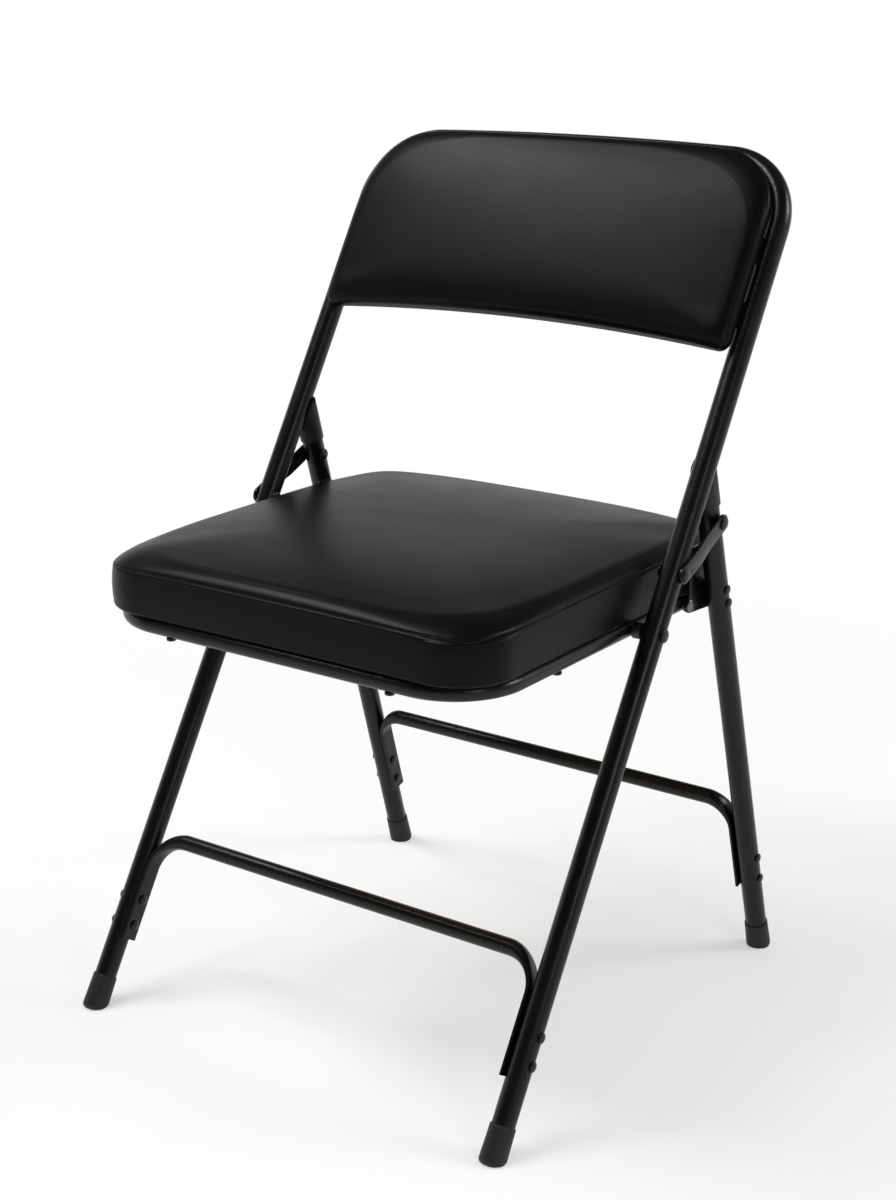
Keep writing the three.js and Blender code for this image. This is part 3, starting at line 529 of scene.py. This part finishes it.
def screw(origin, axis, length, material, name, node):
    """A wood screw: origin is in the middle of its head's top, and axis points to its tip."""
    side = across if abs(axis.x) < 0.5 else Vector((0, 1, 0))
    other = axis.cross(side)
    turns = 64
    rings = [i / 12 * screw_head * flat_top_share for i in range(1, 13)]
    points = []
    for radius in [point_radius, *rings]:
        for i in range(turns):
            angle = math.tau * i / turns
            u, v = radius * math.cos(angle), radius * math.sin(angle)
            slot = max(recess_half_width - abs(u), recess_half_width - abs(v)) / recess_wall
            inside = min(1, max(0, slot)) * min(1, max(0, (recess_reach - radius) / recess_end))
            points.append(origin + side * u + other * v + axis * recess_depth * inside)
    outline = [(screw_head * edge_share, 0.0004), (screw_head, 0.001), (screw_head, screw_head_height),
               (screw_shank, screw_head_height), (screw_shank, length - screw_point), (point_radius, length)]
    rest, _ = lathe(origin, axis, side, outline, turns)
    points += rest
    piece = make_mesh(name, points, grid_faces(len(points) // turns, turns), material, sharp=50)
    return stand_for(piece, node)


for side in ("left", "right"):
    for row in ("front", "side", "rear"):
        node = f"seat_screw_{row}_{side}"
        low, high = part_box(node)
        origin = Vector(((low.x + high.x) / 2, (low.y + high.y) / 2, low.z))
        screw(origin, Vector((0, 0, 1)), high.z - low.z, powder_coat, f"{node}_turned", node)
    for row in ("lower", "upper"):
        node = f"back_screw_{side}_{row}"
        length = screw_head_height + leg_gap + back_screw_bite
        origin = middle(node) - front_face * length / 2
        screw(origin, front_face, length, zinc_plate, f"{node}_turned", node)


# Seat board. Birch plywood, 10 mm thick, cut with rounded corners and left raw under the seat. It
# shows the grain of its outer veneer, with fine darker rays.
plywood = bpy.data.materials.new("raw_birch_plywood")
plywood.use_nodes = True
tree = plywood.node_tree
veneer = tree.nodes["Principled BSDF"]
veneer.inputs["Roughness"].default_value = 0.75
ray_width = 0.004
ray_length = 0.09
ply_thickness = 0.0015
figure_width = 0.06
place = add_node(tree, "ShaderNodeTexCoord").outputs["Object"]
stretch = add_node(tree, "ShaderNodeMapping", {
    "Vector": place, "Scale": (1 / ray_width, 1 / ray_length, 1 / ply_thickness)})
rays = add_node(tree, "ShaderNodeTexNoise", {"Vector": stretch.outputs["Vector"], "Scale": 1, "Detail": 5})
figure = add_node(tree, "ShaderNodeTexNoise", {"Vector": place, "Scale": 1 / figure_width, "Detail": 2})
grain_tint = add_node(tree, "ShaderNodeMix", {
    "Factor": rays.outputs["Fac"], "A": hex_colour("8d6a42"), "B": hex_colour("c19b6c")}, data_type="RGBA")
board_tint = add_node(tree, "ShaderNodeMix", {
    "Factor": figure.outputs["Fac"], "A": grain_tint.outputs["Result"],
    "B": hex_colour("b48f62")}, data_type="RGBA")
tree.links.new(board_tint.outputs["Result"], veneer.inputs["Base Color"])
fibre = add_node(tree, "ShaderNodeBump", {
    "Height": rays.outputs["Fac"], "Strength": 0.3, "Distance": 0.0002})
tree.links.new(fibre.outputs["Normal"], veneer.inputs["Normal"])
finish_node("seat_board", plywood)


# Seat cushion. Foam under black vinyl: a top panel and a side band, sewn together just under the
# rolled top edge, pulled down over the board and stapled under its edge. The foam crowns the panel.

# Vinyl is PVC on knitted cloth, embossed with a fine leather grain. Its pores are about 0.7 mm
# apart and are drawn at 1.6 mm, and a thin satin lacquer gives the broad, soft reflections.
vinyl = bpy.data.materials.new("embossed_black_vinyl")
vinyl.use_nodes = True
tree = vinyl.node_tree
skin = tree.nodes["Principled BSDF"]
skin.inputs["IOR"].default_value = 1.45
skin.inputs["Specular IOR Level"].default_value = 0.115
skin.inputs["Specular Tint"].default_value = hex_colour("f4fff9")
cloud_width = 0.05
pore_pitch = 0.0016
crease_pitch = 0.004
place = add_node(tree, "ShaderNodeTexCoord").outputs["Object"]
clouds = add_node(tree, "ShaderNodeTexNoise", {"Vector": place, "Scale": 1 / cloud_width, "Detail": 3})
tint = add_node(tree, "ShaderNodeMix", {
    "Factor": clouds.outputs["Fac"], "A": hex_colour("070908"), "B": hex_colour("0a0c0b")}, data_type="RGBA")
tree.links.new(tint.outputs["Result"], skin.inputs["Base Color"])
satin = add_node(tree, "ShaderNodeMapRange", {"Value": clouds.outputs["Fac"], "To Min": 0.32, "To Max": 0.4})
tree.links.new(satin.outputs["Result"], skin.inputs["Roughness"])
pores = add_node(tree, "ShaderNodeTexVoronoi", {
    "Vector": place, "Scale": 1 / pore_pitch}, feature="SMOOTH_F1")
creases = add_node(tree, "ShaderNodeTexNoise", {"Vector": place, "Scale": 1 / crease_pitch, "Detail": 3})
relief = add_node(tree, "ShaderNodeMath", {
    0: pores.outputs["Distance"], 1: creases.outputs["Fac"]}, operation="ADD")
leather = add_node(tree, "ShaderNodeBump", {
    "Height": relief.outputs["Value"], "Strength": 0.12, "Distance": 0.0002})
tree.links.new(leather.outputs["Normal"], skin.inputs["Normal"])


def rounded_outline(corners, bows, side_steps=48, corner_steps=20):
    """A closed outline from four corners, anticlockwise from +X +Y, each x, y and radius."""
    arcs = []
    for i, (x, y, radius) in enumerate(corners):
        start = i * math.pi / 2
        arcs.append([Vector(p) for p, _ in arc(x, y, radius, start, start + math.pi / 2, corner_steps)])
    outline = []
    for i, corner in enumerate(arcs):
        begin, end = corner[-1], arcs[(i + 1) % 4][0]
        inwards = Vector((begin.y - end.y, end.x - begin.x)).normalized()
        outline += corner
        for k in range(1, side_steps):
            share = k / side_steps
            outline.append(begin.lerp(end, share) + inwards * 4 * bows[i] * share * (1 - share))
    return np.array([tuple(p) for p in outline])


corner_easing_passes = 8
middle_share = 0.008


def pad_rings(outline, profile, roll, crown, fullness, steps=30):
    """Rings of a pad's skin: up its side by pairs of an inset and a height, then in to the middle.
    The crown lifts everything above the start of the rolled edge; a fuller one is flatter. The
    corners get rounder towards the top."""
    half = outline.max(axis=0)
    top = profile[-1][1]
    plans, rounder = [], outline
    for i, (inset, height) in enumerate(profile):
        for _ in range(corner_easing_passes if height > top - roll else 0):
            rounder = rounder / 2 + (np.roll(rounder, 1, axis=0) + np.roll(rounder, -1, axis=0)) / 4
        plans.append((rounder * (1 - inset / half), height))
    flat = plans[-1][0]
    plans += [(flat * (1 - i / steps), top) for i in range(1, steps)] + [(flat * middle_share, top)]
    rings = []
    for plan, height in plans:
        share = min(1, max(0, (height - top + roll) / roll))
        lift = crown * share * share * (3 - 2 * share) * (1 - np.abs(plan / half) ** fullness).prod(axis=1)
        rings.append(np.column_stack([plan, height + lift]))
    return rings


def normals_of(rings):
    """Outward normals of a skin of rings, from its two directions."""
    grid = np.array(rings)
    up = np.gradient(grid, axis=0)
    round_it = np.roll(grid, -1, axis=1) - np.roll(grid, 1, axis=1)
    normals = np.cross(round_it, up)
    return normals / np.maximum(np.linalg.norm(normals, axis=2, keepdims=True), 1e-12)


voxel = 0.005
foam_pressure = 4
swelling_frames = 20
smoothing_passes = 40
search_reach = 0.02


def swelling(name, rings, shrink, cap, held):
    """How far a skin of rings moves out along its normals when the foam under it swells. A copy,
    drawn in by shrink, is remeshed and inflated as cloth. Points that held picks stay where they
    are sewn or stapled, and the others move by less than cap."""
    grid = np.array(rings)
    normals = normals_of(rings)
    rows, count = grid.shape[:2]
    mesh = bpy.data.meshes.new(name)
    mesh.from_pydata((grid - normals * shrink).reshape(-1, 3).tolist(), [], grid_faces(rows, count))
    foam = bpy.data.objects.new(name, mesh)
    bpy.context.collection.objects.link(foam)
    remesh = foam.modifiers.new("remesh", "REMESH")
    remesh.mode = "VOXEL"
    remesh.voxel_size = voxel
    graph = bpy.context.evaluated_depsgraph_get()
    foam.data = bpy.data.meshes.new_from_object(foam.evaluated_get(graph))
    foam.modifiers.clear()
    still = np.array([v.co for v in foam.data.vertices])
    sewn = foam.vertex_groups.new(name="sewn")
    sewn.add([i for i, place in enumerate(still) if held(*place)], 1, "REPLACE")
    cloth = foam.modifiers.new("cloth", "CLOTH")
    cloth.settings.quality = 6
    cloth.settings.use_pressure = True
    cloth.settings.uniform_pressure_force = foam_pressure
    cloth.settings.effector_weights.gravity = 0
    cloth.settings.vertex_group_mass = "sewn"
    for step in range(1, swelling_frames + 1):
        bpy.context.scene.frame_set(step)
    graph = bpy.context.evaluated_depsgraph_get()
    moved = np.array([v.co for v in foam.evaluated_get(graph).data.vertices]) - still
    length = np.maximum(np.linalg.norm(moved, axis=1, keepdims=True), 1e-9)
    moved *= cap * np.tanh(length / cap) / length
    polygons = [tuple(p.vertices) for p in foam.data.polygons]
    skin_tree = BVHTree.FromPolygons((still + moved).tolist(), polygons)
    bpy.data.objects.remove(foam)
    bpy.context.scene.frame_set(1)
    rise = np.zeros((rows, count))
    for row in range(rows):
        for i in range(count):
            point, normal = Vector(grid[row, i]), Vector(normals[row, i])
            hit = skin_tree.ray_cast(point + normal * search_reach, -normal, 2 * search_reach)[0]
            rise[row, i] = (hit - point).dot(normal) if hit else -shrink
    for _ in range(smoothing_passes):
        beside = np.roll(rise, 1, axis=1) + np.roll(rise, -1, axis=1)
        above = np.vstack([rise[:1], rise[:-1]]) + np.vstack([rise[1:], rise[-1:]])
        rise = rise / 2 + (beside + above) / 8
    return rise


def closed_pad(name, outline, board, grid, lift, material):
    """A pad's piece: its pocket round the board, and its skin, closed over the middle."""
    inset, height = board
    pocket = np.column_stack([outline * (1 - inset / outline.max(axis=0)), np.full(len(outline), height)])
    points = [lift(*place) for ring in (pocket, *grid) for place in ring.tolist()]
    return make_mesh(name, points, grid_faces(len(grid) + 1, len(outline)), material, sharp=60)


pad_low, pad_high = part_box("seat_cushion")
pad_corner = 0.051
pad_draw_in = 0.0012
pad_depth = 0.0476
pad_roll = 0.012
pad_belly = 0.0008
pad_crown = pad_high.z - pad_low.z - pad_depth
pad_fullness = 3
board_inset = 0.003
board_thickness = 0.0103
half_x = pad_high.x
half_y = (pad_high.y - pad_low.y) / 2
pad_middle = (pad_high.y + pad_low.y) / 2
corners = [(sx * (half_x - pad_corner), sy * (half_y - pad_corner), pad_corner)
           for sx, sy in ((1, 1), (-1, 1), (-1, -1), (1, -1))]
seat_outline = rounded_outline(corners, [pad_draw_in] * 4)

# The seam between the band and the top panel dips a little where it turns the corners. The thread
# puckers the vinyl above and below it, in waves a few steps of the outline long.
seam_height = 0.0395
seam_dip = 0.003
seam_depth = 0.0009
seam_half_width = 0.0008
seam_hold = 0.004
pucker = 0.00015
pucker_turn = 2.1
beside_corner = 0.012
from_side = np.min(np.abs(np.abs(seat_outline) - [half_x, half_y]), axis=1)
seam_line = seam_height - seam_dip * np.clip(from_side / beside_corner, 0, 1) ** 1.5


def near_seam(grid, reach):
    """1 on the seam, fading to 0 over that reach above and below it."""
    outside = np.max(np.abs(grid[:, :, :2]) / [half_x, half_y], axis=2) > 0.9
    return np.exp(-((grid[:, :, 2] - seam_line[None, :]) / reach) ** 2) * outside


def sewn_or_stapled(x, y, height):
    """The seam holds the skin, and so do the staples under the board's edge."""
    at_side = abs(x) > half_x - pad_roll / 2 or abs(y) > half_y - pad_roll / 2
    return height < board_thickness or (at_side and abs(height - seam_height) < seam_hold)


# The pad starts smaller by pad_shrink and rises by up to pad_rise. Only foam_share of that is used,
# and it sets in over the first easing_rows above the stapled edge.
pad_shrink = 0.003
pad_rise = 0.006
foam_share = 0.5
easing_rows = 12
under_edge = [(board_inset, 0), (0.0022, 0), (0.0010, 0.0004), (0.0003, 0.0013)]
profile = list(under_edge)
for height in np.linspace(0.0028, pad_depth - pad_roll, 40):
    profile.append((-pad_belly * math.sin(math.pi * height / (pad_depth - pad_roll)), height))
for i in range(1, 31):
    turn = math.pi / 2 * i / 30
    profile.append((pad_roll * (1 - math.cos(turn)), pad_depth - pad_roll * (1 - math.sin(turn))))
skin = np.array(pad_rings(seat_outline, profile, pad_roll, pad_crown, pad_fullness))
outwards = normals_of(skin)
loose = np.clip((np.arange(len(skin)) - len(under_edge)) / easing_rows, 0, 1)[:, None]
swell = (swelling("seat_foam", skin, pad_shrink, pad_rise, sewn_or_stapled) + pad_shrink) * foam_share
waves = np.sin(np.arange(len(seat_outline)) * pucker_turn)
ripple = pucker * waves[None, :] * near_seam(skin, seam_hold)
move = swell * loose + ripple - seam_depth * near_seam(skin, seam_half_width)
seat_skin = skin + outwards * move[:, :, None]


def seat_lift(x, y, height):
    return Vector((x, pad_middle + y, pad_low.z + height))


pocket = (board_inset, board_thickness)
seat_pad = closed_pad("seat_cushion_sewn", seat_outline, pocket, seat_skin, seat_lift, vinyl)
stand_for(seat_pad, "seat_cushion")

# Lockstitch in bonded black polyester thread, 0.5 mm thick, with a stitch every 3.2 mm. Its twist
# gives it a soft lustre.
stitch_pitch = 0.0032
stitch_length = 0.0024
thread_thickness = 0.0005
twist_pitch = 0.0008
thread = bpy.data.materials.new("black_polyester_thread")
thread.use_nodes = True
tree = thread.node_tree
strand = tree.nodes["Principled BSDF"]
strand.inputs["Specular IOR Level"].default_value = 0.3
place = add_node(tree, "ShaderNodeTexCoord").outputs["Object"]
twist = add_node(tree, "ShaderNodeTexNoise", {"Vector": place, "Scale": 1 / twist_pitch, "Detail": 2})
tint = add_node(tree, "ShaderNodeMix", {
    "Factor": twist.outputs["Fac"], "A": hex_colour("161917"), "B": hex_colour("2c302d")}, data_type="RGBA")
tree.links.new(tint.outputs["Result"], strand.inputs["Base Color"])
lustre = add_node(tree, "ShaderNodeMapRange", {"Value": twist.outputs["Fac"], "To Min": 0.5, "To Max": 0.7})
tree.links.new(lustre.outputs["Result"], strand.inputs["Roughness"])


def stitched(path, outwards, pitch, length, thickness):
    """Stitches along a closed path on a skin; each is a short thread that dives in at both ends."""
    path, outwards = np.vstack([path, path[:1]]), np.vstack([outwards, outwards[:1]])
    along = np.concatenate([[0], np.cumsum(np.linalg.norm(np.diff(path, axis=0), axis=1))])
    count = round(along[-1] / pitch)
    sides, steps = 6, 5
    points, faces = [], []
    for k in range(count):
        middle_at = (k + 0.5) * along[-1] / count
        at = np.linspace(middle_at - length / 2, middle_at + length / 2, steps)
        centre = np.column_stack([np.interp(at, along, path[:, c]) for c in range(3)])
        out = np.column_stack([np.interp(at, along, outwards[:, c]) for c in range(3)])
        run = centre[-1] - centre[0]
        beside = np.cross(out[steps // 2], run / np.linalg.norm(run))
        first = len(points)
        for i in range(steps):
            arch = math.sin(math.pi * i / (steps - 1))
            radius = thickness / 2 * (0.55 + 0.45 * arch)
            for side in range(sides):
                angle = math.tau * side / sides
                lean = out[i] * math.cos(angle) + beside * math.sin(angle)
                points.append(centre[i] + out[i] * thickness * (0.7 * arch - 0.3) + lean * radius)
        faces += [tuple(first + v for v in face) for face in grid_faces(steps, sides)]
    return points, faces


seam_rows = np.argmin(np.abs(skin[:, :, 2] - seam_line[None, :])
                      + (np.arange(len(skin))[:, None] > len(profile)), axis=0)
columns = np.arange(len(seat_outline))
seam_path = seat_skin[seam_rows, columns]
seam_path[:, 2] = seam_line
seam_out = outwards[seam_rows, columns]
points, faces = stitched(seam_path, seam_out, stitch_pitch, stitch_length, thread_thickness)
seam = make_mesh("seat_seam_stitches", [seat_lift(*p.tolist()) for p in points], faces, thread, sharp=80)
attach(seam, "seat")


# Back cushion and back board. Foam under the same vinyl, one panel pulled round a 6 mm plywood
# board that is wrapped in it too, with its top corners cut to the frame's bends and a long shallow
# arch in its lower edge.
finish_node("back_board", vinyl)
back_corner_radius = 0.064
back_foot_radius = 0.010
back_arch = 0.0093
back_rise = 0.002
back_depth = 0.0167
back_roll = 0.009
back_crown = 0.004
back_belly = 0.0008
back_lip = 0.003
back_edge_share = 0.65
back_fullness = 2
back_height = 0.178
back_clearance = 0.0007
back_shrink = 0.0025
back_foam_rise = 0.005
back_gap = tube_radius + leg_gap
back_half_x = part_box("back_cushion")[1].x
back_top = top_reach - back_clearance - back_rise
back_half_y = (back_height + back_arch - back_rise) / 2
back_middle = back_top - back_half_y
back_board_edge = (0.008, 0.0063)
corners = [(back_half_x - back_corner_radius, back_half_y - back_corner_radius, back_corner_radius),
           (back_corner_radius - back_half_x, back_half_y - back_corner_radius, back_corner_radius),
           (back_foot_radius - back_half_x, back_foot_radius - back_half_y, back_foot_radius),
           (back_half_x - back_foot_radius, back_foot_radius - back_half_y, back_foot_radius)]
back_outline = rounded_outline(corners, [-back_rise, 0, back_arch, 0])
under_edge = [(0.008, 0), (0.002, 0), (0.0005, 0.0001), (0, 0.0006), (-back_belly, 0.0016)]
profile = list(under_edge)
for i in range(0, 29):
    turn = math.pi / 2 * i / 28
    inset = (back_roll + back_belly) * (1 - math.cos(turn) ** back_edge_share) - back_belly
    profile.append((inset, back_lip + (back_depth - back_lip) * math.sin(turn) ** back_edge_share))
skin = np.array(pad_rings(back_outline, profile, back_roll, back_crown, back_fullness))
loose = np.clip((np.arange(len(skin)) - len(under_edge)) / easing_rows, 0, 1)[:, None]


def stapled(x, y, height):
    """The staples hold the skin round the board's edge."""
    return height < back_board_edge[1]


swell = (swelling("back_foam", skin, back_shrink, back_foam_rise, stapled) + back_shrink) * foam_share
back_skin = skin + normals_of(skin) * (swell * loose)[:, :, None]


def back_lift(x, y, height):
    return on_front(x, back_middle + y, back_gap + height)


back_pad = closed_pad("back_cushion_sewn", back_outline, back_board_edge, back_skin, back_lift, vinyl)
stand_for(back_pad, "back_cushion")


# Floor and light. A plain pale studio floor that runs on into a white backdrop behind the chair,
# two soft boxes high on the front left, one behind on the right, and a faint one on the right.
def seen_directly(tree):
    """1 for what the camera sees, also by way of metal and glass, and 0 for light on the chair."""
    rays = add_node(tree, "ShaderNodeLightPath").outputs
    either = add_node(tree, "ShaderNodeMath", {
        0: rays["Is Camera Ray"], 1: rays["Is Glossy Ray"]}, operation="MAXIMUM")
    return add_node(tree, "ShaderNodeMath", {
        0: either.outputs["Value"], 1: rays["Is Transmission Ray"]}, operation="MAXIMUM").outputs["Value"]


floor_paint = bpy.data.materials.new("white_studio_floor")
floor_paint.use_nodes = True
tree = floor_paint.node_tree
matt = tree.nodes["Principled BSDF"]
matt.inputs["Base Color"].default_value = hex_colour("f2f2f2")
matt.inputs["Roughness"].default_value = 0.9
matt.inputs["Specular IOR Level"].default_value = 0.1
white = add_node(tree, "ShaderNodeEmission", {"Color": hex_colour("ffffff"), "Strength": 1})
place = add_node(tree, "ShaderNodeTexCoord").outputs["Object"]
away = add_node(tree, "ShaderNodeVectorMath", {0: place}, operation="LENGTH")
fade = add_node(tree, "ShaderNodeMapRange", {
    "Value": away.outputs["Value"], "From Min": 0.6, "From Max": 1.7, "To Min": 0.42, "To Max": 1},
    interpolation_type="SMOOTHSTEP")
share = add_node(tree, "ShaderNodeMath", {
    0: seen_directly(tree), 1: fade.outputs["Result"]}, operation="MULTIPLY")
paler = add_node(tree, "ShaderNodeMixShader", {
    0: share.outputs["Value"], 1: matt.outputs["BSDF"], 2: white.outputs["Emission"]})
tree.links.new(paler.outputs["Shader"], tree.nodes["Material Output"].inputs["Surface"])
bpy.ops.mesh.primitive_plane_add(size=24, location=(0, 0, -0.0005))
floor = bpy.context.object
floor.name = "studio_floor"
floor.data.materials.append(floor_paint)
floor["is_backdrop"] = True

# The backdrop is white low down behind the chair; the rest of the studio is darker.
world = bpy.data.worlds.new("white_studio")
bpy.context.scene.world = world
world.use_nodes = True
tree = world.node_tree
sky = tree.nodes["Background"]
sky.inputs["Color"].default_value = hex_colour("ffffff")
towards = add_node(tree, "ShaderNodeTexCoord").outputs["Generated"]
behind = add_node(tree, "ShaderNodeVectorMath", {0: towards, 1: (-0.58, 0.81, 0)}, operation="DOT_PRODUCT")
paper = add_node(tree, "ShaderNodeMapRange", {
    "Value": behind.outputs["Value"], "From Min": -0.4, "From Max": 0.5, "To Min": 0.32, "To Max": 1},
    interpolation_type="SMOOTHSTEP")
height = add_node(tree, "ShaderNodeSeparateXYZ", {"Vector": towards}).outputs["Z"]
low_down = add_node(tree, "ShaderNodeMapRange", {
    "Value": height, "From Min": 0.25, "From Max": 0.43, "To Min": 1, "To Max": 0.12},
    interpolation_type="SMOOTHSTEP")
studio = add_node(tree, "ShaderNodeMath", {
    0: paper.outputs["Result"], 1: low_down.outputs["Result"]}, operation="MULTIPLY")
rays = add_node(tree, "ShaderNodeLightPath").outputs
seen = add_node(tree, "ShaderNodeMix", {
    "Factor": rays["Is Camera Ray"], "A": studio.outputs["Value"], "B": 1.0}, data_type="FLOAT")
strength = add_node(tree, "ShaderNodeMix", {
    "Factor": seen_directly(tree), "A": 0.52, "B": seen.outputs["Result"]}, data_type="FLOAT")
tree.links.new(strength.outputs["Result"], sky.inputs["Strength"])


def soft_lamp(name, azimuth, elevation, distance, width, height, watts):
    """A soft box that looks at the seat; azimuth 0 is in front of the chair, 90 on its +X side."""
    lamp = bpy.data.lights.new(name, "AREA")
    lamp.shape = "RECTANGLE"
    lamp.size = width
    lamp.size_y = height
    lamp.energy = watts
    a, e = math.radians(azimuth), math.radians(elevation)
    out = Vector((math.sin(a) * math.cos(e), -math.cos(a) * math.cos(e), math.sin(e)))
    holder = bpy.data.objects.new(name, lamp)
    holder.location = Vector((0, 0, 0.4)) + out * distance
    holder.rotation_euler = out.to_track_quat("Z", "Y").to_euler()
    bpy.context.collection.objects.link(holder)


soft_lamp("key_lamp", -46, 66, 3.0, 0.6, 0.6, 18)
soft_lamp("side_lamp", -68, 54, 2.8, 1.2, 0.5, 32)
soft_lamp("rear_lamp", 126, 32, 3.2, 1.0, 1.0, 34)
soft_lamp("right_lamp", 64, 23, 2.8, 0.5, 1.0, 8)


# Camera. It stands where the photograph was taken from: in front, to the chair's +X side and a
# little higher than its back, with a lens of about 62 mm on a 36 mm frame.
camera_place = Vector((1.033034, -1.198051 + front_foot.y, 0.923823))
camera_azimuth = math.radians(35.513)
camera_elevation = math.radians(17.341)
back = Vector((math.sin(camera_azimuth) * math.cos(camera_elevation),
               -math.cos(camera_azimuth) * math.cos(camera_elevation), math.sin(camera_elevation)))
lens = bpy.data.cameras.new("photo_camera")
lens.sensor_width = 36
lens.lens = 61.797
camera = bpy.data.objects.new("photo_camera", lens)
right = Vector((0, 0, 1)).cross(back).normalized()
facing = Matrix((right, back.cross(right), back)).transposed().to_4x4()
camera.matrix_world = Matrix.Translation(camera_place) @ facing
bpy.context.collection.objects.link(camera)
bpy.context.scene.camera = camera
bpy.context.scene.view_settings.view_transform = "Standard"

low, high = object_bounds()
